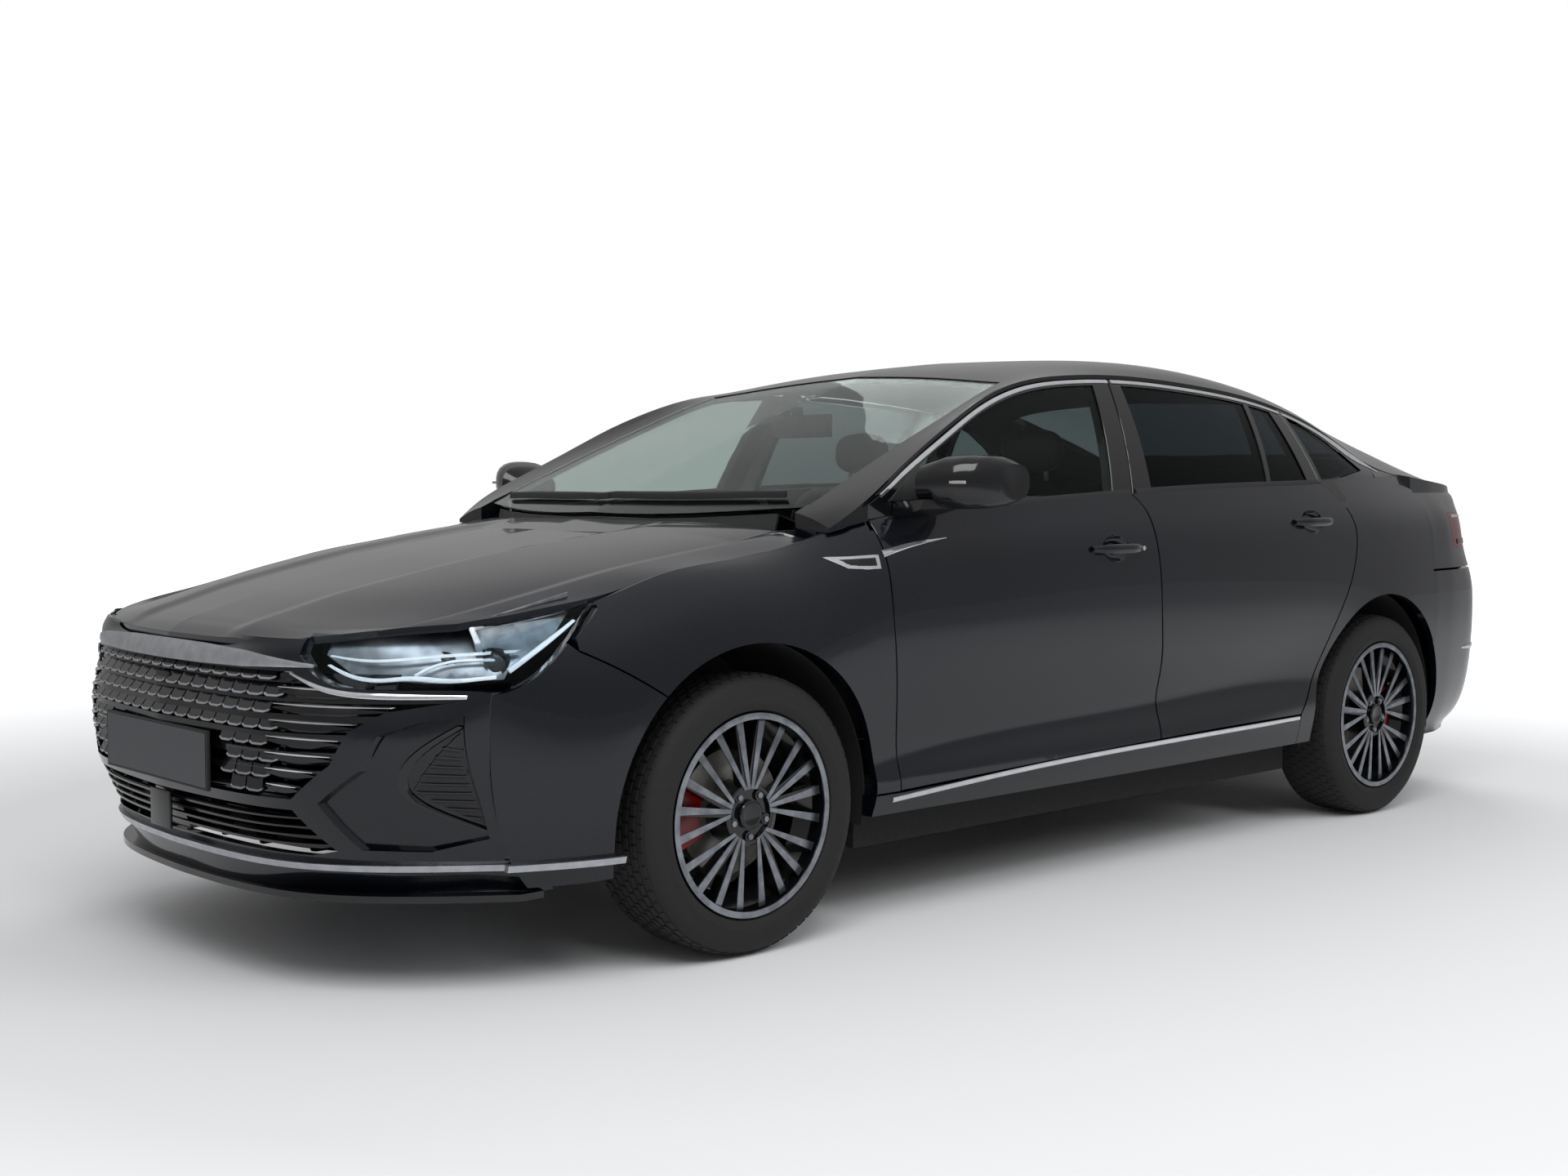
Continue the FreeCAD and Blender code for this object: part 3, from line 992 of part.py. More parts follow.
lamp_skin = nose_slab(HEIGHT * .4300, HEIGHT * .5400, size("lamp_depth"))
front_glass = lamp_skin.common(nose_prism([
    [(.563, .4975), (.641, .4580), (.760, .4500), (.877, .4560)], [(.877, .6000), (.563, .6000)]]))
side_glass = side_slab(LENGTH * .3500, LENGTH * .4200, size("lamp_depth")).common(side_prism(
    [along(LAMP_SIDE_SHARES, 2 * LAP, 3 * LAP)] + straight([
        (LENGTH * .4300, HEIGHT * .6000), (LENGTH * .3630 + 2 * LAP, HEIGHT * .6000)])))
side_glass = side_glass.cut(box_between(LENGTH * .4100, LENGTH, 0, HALF, 0, HEIGHT * .4560))
headlamp = fused([front_glass, side_glass]).cut(under_bonnet)
feature("headlamps", Part.makeCompound([headlamp, headlamp.mirror(Vector(0, 0, 0), Vector(0, 1, 0))]))

blade_rows = []
blade_up = HEIGHT * .1900
for inset in steps(0, 1, 4):
    blade_rows.append([Vector(front_plan(blade_up)(abs(y)) + GAP - inset * REACH, y, HEIGHT * .1480 - SEAT)
                       for y in steps(-side_edge, side_edge, 24)])
under_blade = slab(blade_rows, Vector(0, 0, -3 * GAP))
proud = size("blade_proud")
bright_low, bright_high = HEIGHT * .1830, HEIGHT * .1930
bright = nose_slab(bright_low, bright_high, proud - SEAT, -proud, .874, 2)
wrap = side_slab(LENGTH * .3580, LENGTH * .4140, proud - SEAT, -proud).common(
    box_between(LENGTH * .3600, LENGTH * .4120, 0, LENGTH, bright_low, bright_high))
bright = fused([bright, wrap, wrap.mirror(Vector(0, 0, 0), Vector(0, 1, 0))])
feature("front_splitter", Part.makeCompound([under_blade, bright]))

# Rear bumper, boot lid and tail lamps
rear_half = tail_slab(HEIGHT * .1500, HEIGHT * .5350, size("bumper_depth")).cut(arch_cutter(REAR_AXLE))
rear_half = clear_of_liners(rear_half, REAR_AXLE).common(
    box_between(-LENGTH, TAIL_JOIN - 2 * SEAT, -REACH, HALF + REACH))
feature("rear_bumper", both_halves(rear_half))

boot_box = Part.makeBox(LENGTH, BOOT_HALF, HEIGHT, Vector(-LENGTH, 0, 0))
deck = top_slab(BOOT_START, BOOT_END, size("roof_depth")).common(
    Part.makeBox(LENGTH, 2 * BOOT_HALF, HEIGHT, Vector(-LENGTH, -BOOT_HALF, 0))).cut(beyond_tail)
lid_face = tail_slab(HEIGHT * .5400, HEIGHT * .7150, SKIN, 0, .60).common(boot_box)
lid_face = lid_face.cut(tail_slab(lamp_low - SEAT, lamp_high + SEAT, size("lamp_depth") + 2 * LAP, -.02, .60, -1))
arm = boot_arm()
feature("boot_lid", fused([deck, lid_face, lid_face.mirror(Vector(0, 0, 0), Vector(0, 1, 0)), arm,
                           arm.mirror(Vector(0, 0, 0), Vector(0, 1, 0))]))
strip = tail_slab(lamp_low, lamp_high, size("lamp_depth"), 0, .60).common(boot_box)
feature("boot_lamp", both_halves(strip))
corner_lamp = tail_slab(lamp_low, lamp_high, size("lamp_depth"), .26, .855).common(beside_boot)
feature("tail_lamps", Part.makeCompound([corner_lamp, corner_lamp.mirror(Vector(0, 0, 0), Vector(0, 1, 0))]))


def rule(text):
    """Expression on the sheet from a sum of plain aliases."""
    return re.sub(r"[a-z_]+", lambda word: "Sizes." + word.group(0) if word.group(0) in SIZES
                  else word.group(0), text)


def block(name, length, width, height, x, y, z):
    """Box whose middle is at y."""
    made = doc.addObject("Part::Box", name)
    bind(made, Length=rule(length), Width=rule(width), Height=rule(height))
    return place(made, rule(x), rule("%s - (%s) / 2" % (y, width)), rule(z))


def rod(name, radius, length, x, y, z, axis):
    """Cylinder from a point along an axis."""
    made = doc.addObject("Part::Cylinder", name)
    made.Placement = Placement(Vector(), Rotation(Vector(0, 0, 1), axis))
    bind(made, Radius=rule(radius), Height=rule(length))
    return place(made, rule(x), rule(y), rule(z))


def joined(label, pieces):
    made = doc.addObject("Part::MultiFuse", label)
    made.Label = label
    made.Shapes = pieces
    return made


def apart(label, pieces):
    made = doc.addObject("Part::Compound", label)
    made.Label = label
    made.Links = pieces
    return made


def minus(label, base, tool):
    made = doc.addObject("Part::Cut", label)
    made.Label = label
    made.Base = base
    made.Tool = tool
    return made


AHEAD = Vector(1, 0, 0)
LEFT = Vector(0, 1, 0)
UP = Vector(0, 0, 1)

# Tyre: solid ring on the rim's bead seats
tyre_half_shares = ((.697, .780), (.728, .800), (.745, .930), (.800, 1.000), (.900, .975), (.975, .860), (1.0, .640))
tyre_shares = tyre_half_shares + tuple((up, -out) for up, out in reversed(tyre_half_shares))
tyre_master = new_body("tyre_form")
tyre_sketch = sketch_on(tyre_master, "XY_Plane", "tyre_outline")
draw(tyre_sketch, [(rule("tyre_radius * %g" % up), rule("tyre_width / 2 * %g" % out)) for up, out in tyre_shares])
tyre_turned = revolve(tyre_master, tyre_sketch, "V_Axis")

# Wheel: turned rim, hub, brake disc and five fans of four blades
wheel_master = new_body("wheel_form")
rim_sketch = sketch_on(wheel_master, "XY_Plane", "rim_outline")
draw(rim_sketch, [(rule(up), rule(out)) for up, out in (
    ("rim_radius", "rim_width / 2"),
    ("rim_radius", "rim_width / 2 - flange_depth"),
    ("tyre_bead_radius - seat_gap", "rim_width / 2 - bead_seat"),
    ("tyre_bead_radius - seat_gap", "rim_width / 2 - 3 * bead_seat"),
    ("rim_well_radius", "rim_width / 2 - 5 * bead_seat"),
    ("rim_well_radius", "-rim_width / 2 + 5 * bead_seat"),
    ("tyre_bead_radius - seat_gap", "-rim_width / 2 + 2 * bead_seat"),
    ("tyre_bead_radius - seat_gap", "-rim_width / 2 + bead_seat"),
    ("rim_radius", "-rim_width / 2 + flange_depth"),
    ("rim_radius", "-rim_width / 2"),
    ("rim_radius - rim_wall", "-rim_width / 2"),
    ("tyre_bead_radius - rim_wall", "-rim_width / 2 + bead_seat"),
    ("tyre_bead_radius - rim_wall", "-rim_width / 2 + 2 * bead_seat"),
    ("rim_well_radius - rim_wall", "-rim_width / 2 + 5 * bead_seat"),
    ("rim_well_radius - rim_wall", "rim_width / 2 - 5 * bead_seat"),
    ("tyre_bead_radius - rim_wall", "rim_width / 2 - 3 * bead_seat"),
    ("rim_radius - rim_wall", "rim_width / 2"))])
revolve(wheel_master, rim_sketch, "V_Axis")
doc.recompute()


def wheel_disc(name, radius, face, depth):
    """Round plate in the wheel, from its outer face inwards."""
    sketch = sketch_on(wheel_master, "XZ_Plane", name, rule("-(%s)" % face))
    circle = sketch.addGeometry(Part.Circle(Vector(), Vector(0, 0, 1), evaluate(rule(radius))), False)
    sketch.addConstraint(Sketcher.Constraint("Coincident", circle, 3, -1, 1))
    number = sketch.addConstraint(Sketcher.Constraint("Radius", circle, evaluate(rule(radius))))
    sketch.setExpression("Constraints[%d]" % number, rule(radius))
    return pad(wheel_master, sketch, rule(depth))


wheel_disc("hub", "hub_radius", "spoke_face - flange_depth", "spoke_face - flange_depth - disc_place")
wheel_disc("disc", "disc_radius", "disc_place + disc_depth", "disc_depth")
doc.recompute()
blades = sketch_on(wheel_master, "XZ_Plane", "blades", rule("-spoke_face"))
for step in (-1.5, -.5, .5, 1.5):
    corners = []
    for radius, width, turn, sides in (("hub_radius * .85", "spoke_root", "spoke_root_turn", (-.5, .5)),
                                       ("(tyre_bead_radius - rim_wall / 2)", "spoke_tip", "spoke_tip_turn", (.5, -.5))):
        angle = math.radians(size(turn) * step)
        for side in sides:
            corners.append((rule("%s * %.6f + %s * %.6f" % (radius, math.cos(angle), width, -side * math.sin(angle))),
                            rule("%s * %.6f + %s * %.6f" % (radius, math.sin(angle), width, side * math.cos(angle)))))
    draw(blades, corners)
blades_pad = pad(wheel_master, blades, rule("spoke_depth"))
doc.recompute()
repeat_round(wheel_master, blades_pad, "Y_Axis", rule("spoke_groups"))
doc.recompute()

CORNERS = (("front_left", "front_axle_x", "track_half", 0), ("front_right", "front_axle_x", "-track_half", 180),
           ("rear_left", "rear_axle_x", "track_half", 0), ("rear_right", "rear_axle_x", "-track_half", 180))
for corner, axle, across, turn in CORNERS:
    for form, piece in ((wheel_master, "wheel"), (tyre_master, "tyre")):
        copy = apart("%s_%s" % (piece, corner), [form])
        copy.Placement = Placement(Vector(), Rotation(UP, turn))
        place(copy, rule(axle), rule(across), rule("tyre_radius"))


def ring(name, outer, inner, length, x, y, z, axis=LEFT, angle=None, turn=0):
    """Hollow cylinder, or a sector of one that starts at a turn about its axis."""
    walls = []
    for suffix, radius, extra in (("_outer", outer, "0"), ("_bore", inner, "seat_gap")):
        made = rod(name + suffix, radius, "%s + 2 * (%s)" % (length, extra), x, "%s - (%s)" % (y, extra), z, axis)
        made.Placement = Placement(Vector(), Rotation(axis, turn) * Rotation(UP, axis))
        place(made, rule(x), rule("%s - (%s)" % (y, extra)), rule(z))
        walls.append(made)
    if angle:
        bind(walls[0], Angle=rule(angle))
    return minus(name, *walls)


# Steered hub carriers with their calipers, and the fixed parts of both axles
DISC_MIDDLE = "track_half + disc_place + disc_depth / 2"


def caliper(name, axle, turn):
    """Sector over the disc's edge, slotted for it."""
    body = ring(name + "_body", "caliper_outer", "caliper_inner", "caliper_depth", axle,
                DISC_MIDDLE + " - caliper_depth / 2", "tyre_radius", LEFT, "caliper_angle", turn)
    slot = rod(name + "_slot", "disc_radius + disc_clearance", "disc_depth + 2 * disc_clearance", axle,
               "track_half + disc_place - disc_clearance", "tyre_radius", LEFT)
    return minus(name, body, slot)


def stub(name, axle):
    """Shaft from the carrier to the wheel's hub."""
    return rod(name, "stub_radius", "track_half + disc_place - carrier_place - seat_gap", axle, "carrier_place",
               "tyre_radius", LEFT)


carrier = [
    rod("carrier_hub", "carrier_radius", "carrier_depth", "front_axle_x", "carrier_place - carrier_depth / 2",
        "tyre_radius", LEFT),
    stub("carrier_stub", "front_axle_x"),
    rod("carrier_leg", "ball_radius", "tyre_radius - ball_up", "front_axle_x", "carrier_place", "ball_up", UP),
    block("carrier_foot", "4 * ball_radius", "kingpin_y - strut_y", "2 * ball_radius", "front_axle_x - 2 * ball_radius",
          "(carrier_place + strut_y) / 2", "upright_top_up - 2 * ball_radius"),
    block("carrier_upright", "upright_width", "upright_width", "upright_top_up - tyre_radius",
          "front_axle_x - upright_width / 2", "carrier_place - upright_width / 2", "tyre_radius"),
    block("carrier_bracket", "caliper_inner + upright_width / 2", "ball_radius", "upright_width", "front_axle_x",
          "carrier_place", "tyre_radius - upright_width / 2"),
    block("carrier_lug", "upright_width / 2", "track_half - carrier_place - caliper_depth / 3", "upright_width",
          "front_axle_x + caliper_inner + upright_width / 2",
          "(track_half + carrier_place) / 2 - caliper_depth / 5", "tyre_radius - upright_width / 2"),
    caliper("front_caliper", "front_axle_x", -size("caliper_angle") / 2),
]
left_carrier = joined("knuckle_front_left", carrier)
mirrored("knuckle_front_right", left_carrier)
rear_half_axle = [
    rod("rear_carrier", "carrier_radius", "carrier_depth", "rear_axle_x", "carrier_place - carrier_depth / 2",
        "tyre_radius", LEFT),
    stub("rear_stub", "rear_axle_x"),
    block("rear_link", "arm_width", "carrier_place - trailing_arm_y", "arm_width", "rear_axle_x - arm_width / 2",
          "(carrier_place + trailing_arm_y) / 2", "tyre_radius - arm_width / 2"),
    block("rear_arm", "boot_step_x - floor_wall - seat_gap - rear_axle_x + arm_width / 2", "arm_width", "arm_width",
          "rear_axle_x - arm_width / 2",
          "trailing_arm_y", "tyre_radius - arm_width / 2"),
    block("rear_bracket", "caliper_inner + upright_width / 2", "ball_radius", "upright_width",
          "rear_axle_x - caliper_inner - upright_width / 2", "carrier_place", "tyre_radius - upright_width / 2"),
    block("rear_lug", "upright_width / 2", "track_half - carrier_place - caliper_depth / 3", "upright_width",
          "rear_axle_x - caliper_inner - upright_width", "(track_half + carrier_place) / 2 - caliper_depth / 5",
          "tyre_radius - upright_width / 2"),
    caliper("rear_caliper", "rear_axle_x", 180 - size("caliper_angle") / 2),
]
half_axle = joined("rear_axle_left", rear_half_axle)
other_half_axle = mirrored("rear_axle_right", half_axle)
beam = rod("rear_beam", "beam_radius", "2 * trailing_arm_y + arm_width", "rear_axle_x + beam_ahead",
           "-trailing_arm_y - arm_width / 2", "tyre_radius", LEFT)
joined("rear_axle", [half_axle, other_half_axle, beam])
subframe = block("subframe", "subframe_length", "2 * arm_root_y", "subframe_depth",
                 "front_axle_x - subframe_length / 2", "0", "ball_up - subframe_depth")
arm = block("lower_arm", "arm_width", "kingpin_y - arm_root_y", "arm_depth", "front_axle_x - arm_width / 2",
            "(kingpin_y + arm_root_y) / 2 - 2 * ball_radius", "ball_up - arm_depth - seat_gap")
rail = block("rail", "front_axle_x - subframe_length / 2 - floor_start - floor_wall - seat_gap", "arm_width",
             "2 * subframe_depth", "floor_start + floor_wall + seat_gap", "arm_root_y - arm_width / 2",
             "ball_up - subframe_depth")
joined("front_subframe", [subframe, arm, mirrored("lower_arm_right", arm), rail, mirrored("rail_right", rail)])
SPRING_TOP = "tyre_radius + sqrt(liner_radius ^ 2 - spring_radius ^ 2) - seat_gap"
strut = joined("strut_left", [
    rod("strut", "strut_radius", SPRING_TOP + " - upright_top_up - seat_gap", "front_axle_x", "strut_y",
        "upright_top_up + seat_gap", UP),
    rod("spring", "spring_radius", SPRING_TOP + " - spring_foot_up", "front_axle_x", "strut_y", "spring_foot_up",
        UP)])
apart("struts", [strut, mirrored("strut_right", strut)])

# Floor with rockers, tunnel, bulkhead, wheelhouses and boot
floor = block("floor", "floor_start - floor_end", "2 * floor_half", "floor_wall", "floor_end", "0", "floor_up")
tunnel = block("tunnel", "floor_start - floor_end", "2 * tunnel_half", "tunnel_rise", "floor_end", "0", "floor_up")
tunnel_bore = block("tunnel_bore", "floor_start - floor_end + 2 * floor_wall", "2 * (tunnel_half - floor_wall)",
                    "tunnel_rise", "floor_end - floor_wall", "0", "floor_up - floor_wall")
rocker = block("rocker", "floor_start - floor_end - 2 * floor_wall", "rocker_width", "rocker_height",
               "floor_end + floor_wall", "floor_half + rocker_width / 2", "rocker_foot_up")
bulkhead = block("bulkhead", "floor_wall", "2 * floor_half", "bulkhead_top - floor_up", "floor_start", "0", "floor_up")
rear_floor = block("rear_floor", "floor_end - boot_step_x", "2 * boot_floor_half", "floor_wall", "boot_step_x", "0",
                   "floor_up")
boot_step = block("boot_step", "floor_wall", "2 * boot_floor_half", "boot_floor_up + floor_wall - floor_up",
                  "boot_step_x - floor_wall", "0", "floor_up")
boot_floor = block("boot_floor", "boot_step_x - boot_floor_end", "2 * boot_floor_half", "floor_wall",
                   "boot_floor_end", "0", "boot_floor_up")
back_panel = block("back_panel", "floor_wall", "2 * boot_floor_half", "back_panel_height", "boot_floor_end", "0",
                   "boot_floor_up")
shelf = block("shelf", "shelf_start - shelf_end", "2 * boot_floor_half", "floor_wall", "shelf_end", "0", "shelf_up")
boot_wall = block("boot_wall", "rear_axle_x - liner_radius - boot_floor_end", "liner_wall",
                  "shelf_up - boot_floor_up",
                  "boot_floor_end", "boot_floor_half", "boot_floor_up")
foot_cutter = block("below_liners", "overall_length", "2 * half_width", "2 * liner_foot_up", "-overall_length / 2", "0",
                    "-liner_foot_up")


def liner(name, axle, inner_y):
    shell = ring(name + "_shell", "liner_radius + liner_wall", "liner_radius", "liner_outer_y - %s" % inner_y, axle,
                 inner_y, "tyre_radius")
    plate = ring(name + "_plate", "liner_radius + liner_wall", "shaft_hole_radius", "liner_wall", axle,
                 "%s - liner_wall" % inner_y, "tyre_radius")
    return [shell, plate]


liners = joined("liners", liner("front_liner", "front_axle_x", "front_liner_y")
                + liner("rear_liner", "rear_axle_x", "rear_liner_y"))
liners_open = minus("liners_open", liners, foot_cutter)
left_floor = joined("floor_left", [liners_open, rocker, boot_wall])
floor_body = joined("floor_body", [floor, tunnel])
floor_open = minus("floor_open", floor_body, tunnel_bore)
bonnet_ears = []
for place_name, offset in (("inner", "-hinge_arm / 2 - seat_gap - hinge_ear / 2"),
                           ("outer", "hinge_arm / 2 + seat_gap + hinge_ear / 2")):
    bonnet_ears.append(block("bonnet_ear_" + place_name, "bonnet_hinge_x - floor_start + 3 * hinge_pin_radius",
                             "hinge_ear", "6 * hinge_pin_radius", "floor_start",
                             "bonnet_hinge_y + (%s)" % offset, "bonnet_hinge_up - 3 * hinge_pin_radius"))
bonnet_pin = rod("bonnet_pin", "hinge_pin_radius", "hinge_arm + 2 * hinge_ear", "bonnet_hinge_x",
                 "bonnet_hinge_y - hinge_arm / 2 - hinge_ear", "bonnet_hinge_up", LEFT)
left_ears = joined("bonnet_ears_left", bonnet_ears + [bonnet_pin])
joined("floor_pan", [floor_open, left_floor, mirrored("floor_right", left_floor), bulkhead, rear_floor, boot_step,
                     boot_floor, back_panel, shelf, left_ears, mirrored("bonnet_ears_right", left_ears)])

# Engine and exhaust
ENGINE_FOOT = ("engine_foot", "engine_foot", "engine_up - ball_up - seat_gap", "front_axle_x - engine_foot / 2")
joined("engine_block", [
    block("engine", "engine_length", "engine_width", "engine_height", "engine_x", "0", "engine_up"),
    block("engine_foot_left", *ENGINE_FOOT, "engine_foot_y", "ball_up + seat_gap"),
    block("engine_foot_right", *ENGINE_FOOT, "-engine_foot_y", "ball_up + seat_gap")])
pipe = rod("pipe", "pipe_radius", "floor_start - boot_floor_end - silencer_length", "boot_floor_end + silencer_length",
           "0", "floor_up - pipe_radius - seat_gap", AHEAD)
silencer = rod("silencer", "silencer_radius", "silencer_length", "boot_floor_end", "0",
               "floor_up + silencer_radius / 2", AHEAD)
joined("exhaust", [pipe, silencer])

# Seats, facia and steering wheel


def seat(side_name, across):
    return joined("seat_" + side_name, [
        block("base_" + side_name, "seat_depth * .8", "seat_width * .8",
              "seat_cushion_up - floor_up - floor_wall - seat_gap", "seat_x - seat_depth * .9", across,
              "floor_up + floor_wall + seat_gap"),
        block("cushion_" + side_name, "seat_depth", "seat_width", "seat_cushion_height", "seat_x - seat_depth",
              across, "seat_cushion_up"),
        block("back_" + side_name, "seat_back_depth", "seat_width", "seat_back_height",
              "seat_x - seat_depth - seat_back_depth / 2", across, "seat_cushion_up + seat_cushion_height"),
        block("headrest_" + side_name, "headrest_depth", "headrest_width", "headrest_height",
              "seat_x - seat_depth - seat_back_depth", across,
              "seat_cushion_up + seat_cushion_height + seat_back_height"),
    ])


apart("front_seats", [seat("left", "seat_y"), seat("right", "-seat_y")])
BENCH_FOOT = "floor_up + tunnel_rise + seat_gap"
joined("rear_bench", [
    block("bench_cushion", "bench_depth", "bench_width", "bench_cushion_height", "bench_x - bench_depth", "0",
          BENCH_FOOT),
    block("bench_back", "seat_back_depth", "bench_width", "bench_back_height + bench_cushion_height / 2",
          "bench_x - bench_depth - seat_back_depth", "0", BENCH_FOOT + " + bench_cushion_height / 2")])
stem_x = size("cabin_mirror_x") + size("cabin_mirror_depth")
stem_top = top_up(stem_x + size("mirror_stem"), 0) - size("screen_inset") - size("glass_depth") - HALF_GAP
joined("cabin_mirror", [
    block("mirror_glass", "cabin_mirror_depth", "cabin_mirror_width", "cabin_mirror_height", "cabin_mirror_x", "0",
          "cabin_mirror_up"),
    feature("mirror_stalk", box_between(stem_x - SEAT, stem_x + size("mirror_stem"), -size("mirror_stem"),
                                        size("mirror_stem"), size("cabin_mirror_up") + size("cabin_mirror_height") / 2,
                                        stem_top))])
facia = block("facia", "dash_depth", "2 * dash_half", "dash_height", "dash_x - dash_depth", "0", "dash_up")
console = block("console", "console_length", "2 * console_half", "console_height", "dash_x - console_length", "0",
                "floor_up + tunnel_rise + seat_gap")
hand_turn = Rotation(LEFT, 90 + size("wheel_tilt"))
column = []
for name, radius, length, start in (("shroud", "shroud_radius", "shroud_length", "shaft_length / 2"),
                                    ("shroud_bore", "shaft_radius + seat_gap", "shaft_length",
                                     "shaft_length / 2 - disc_clearance")):
    made = doc.addObject("Part::Cylinder", name)
    made.Placement = Placement(Vector(), hand_turn)
    bind(made, Radius=rule(radius), Height=rule(length))
    place(made, rule("wheel_x + (%s) * cos(wheel_tilt)" % start), rule("seat_y"),
          rule("wheel_up - (%s) * sin(wheel_tilt)" % start))
    column.append(made)
facia_column = joined("facia_column", [facia, console, column[0]])
minus("dashboard", facia_column, column[1])
rim_ring = doc.addObject("Part::Torus", "hand_ring")
bind(rim_ring, Radius1=rule("wheel_radius"), Radius2=rule("wheel_tube"))
hand_hub = rod("hand_hub", "wheel_tube * 3", "wheel_tube * 3", "0", "0", "-wheel_tube * 1.5", UP)
hand_shaft = rod("hand_shaft", "shaft_radius", "shaft_length", "0", "0", "0", UP)
hand_bar = block("hand_bar", "wheel_radius * 2", "wheel_tube * 2", "wheel_tube", "-wheel_radius", "0",
                 "-wheel_tube / 2")
hand_spoke = block("hand_spoke", "wheel_tube * 2", "wheel_radius", "wheel_tube", "-wheel_tube", "wheel_radius / 2",
                   "-wheel_tube / 2")
hand_wheel = joined("steering_wheel", [rim_ring, hand_hub, hand_shaft, hand_bar, hand_spoke])
hand_wheel.Placement = Placement(Vector(), hand_turn * Rotation(UP, 90))
place(hand_wheel, rule("wheel_x"), rule("seat_y"), rule("wheel_up"))

NODES = (
    "body_shell", "cowl", "grille", "cabin_mirror", "floor_pan", "bonnet", "boot_lid", "wing_front_left",
    "wing_front_right", "front_bumper", "rear_bumper", "front_splitter", "headlamps", "tail_lamps",
    "boot_lamp", "struts", "windscreen", "rear_screen", "quarter_windows", "dashboard", "steering_wheel",
    "front_seats", "rear_bench", "engine_block", "exhaust", "front_subframe", "rear_axle",
    "knuckle_front_left", "knuckle_front_right",
) + tuple("door_%s_%s" % (end, side_name) for end in ("front", "rear") for side_name in ("left", "right")) \
  + tuple("glass_%s_%s" % (end, side_name) for end in ("front", "rear") for side_name in ("left", "right")) \
  + tuple("%s_%s" % (piece, corner[0]) for piece in ("wheel", "tyre") for corner in CORNERS)

doc.recompute()
for made in doc.Objects:
    if "Invalid" in made.State or "Error" in made.State:
        raise RuntimeError("%s did not build" % made.Label)
os.makedirs("parts", exist_ok=True)
for made in doc.Objects:
    if made.Label in NODES:
        if made.Shape.isNull() or not made.Shape.isValid():
            raise RuntimeError("%s has no valid shape" % made.Label)
        made.Shape.exportStep("parts/%s.step" % made.Label)
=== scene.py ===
import math
import bpy
import bmesh
import numpy as np
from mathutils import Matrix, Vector
from mathutils.geometry import delaunay_2d_cdt


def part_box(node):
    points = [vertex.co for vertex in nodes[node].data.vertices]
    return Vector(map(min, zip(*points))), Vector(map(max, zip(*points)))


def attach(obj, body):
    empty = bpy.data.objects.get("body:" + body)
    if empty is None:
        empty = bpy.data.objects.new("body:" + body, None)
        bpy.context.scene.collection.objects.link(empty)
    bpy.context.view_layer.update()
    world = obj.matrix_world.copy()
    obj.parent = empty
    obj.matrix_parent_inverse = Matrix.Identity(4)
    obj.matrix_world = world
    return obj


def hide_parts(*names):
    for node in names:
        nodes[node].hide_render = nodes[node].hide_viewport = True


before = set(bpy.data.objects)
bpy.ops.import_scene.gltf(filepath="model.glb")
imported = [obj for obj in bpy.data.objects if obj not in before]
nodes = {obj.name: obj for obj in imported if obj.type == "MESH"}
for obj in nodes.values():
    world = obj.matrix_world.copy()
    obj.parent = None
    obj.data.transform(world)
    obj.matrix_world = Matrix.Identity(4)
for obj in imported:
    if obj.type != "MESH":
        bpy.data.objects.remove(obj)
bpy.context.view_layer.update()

print("frame loaded:", len(nodes), "nodes")

# The whole car and its panels, metres
car = {"length": 4.8, "half": .915, "height": 1.487, "frontAxle": 1.35, "rearAxle": -1.42,
       "track": .7825, "hubUp": .33, "gap": .005}
panel = {"skin": .024, "doorDepth": .112, "doorInset": .026, "frameDepth": .036, "frameInset": .004,
         "beltTuck": .012, "frameWidth": .026, "bonnet": .016, "cabinBulgeShare": .045,
         "frameDrop": .016, "edge": .0014, "grid": .017}
length, half, height = car["length"], car["half"], car["height"]
gap, halfGap = car["gap"], car["gap"] / 2

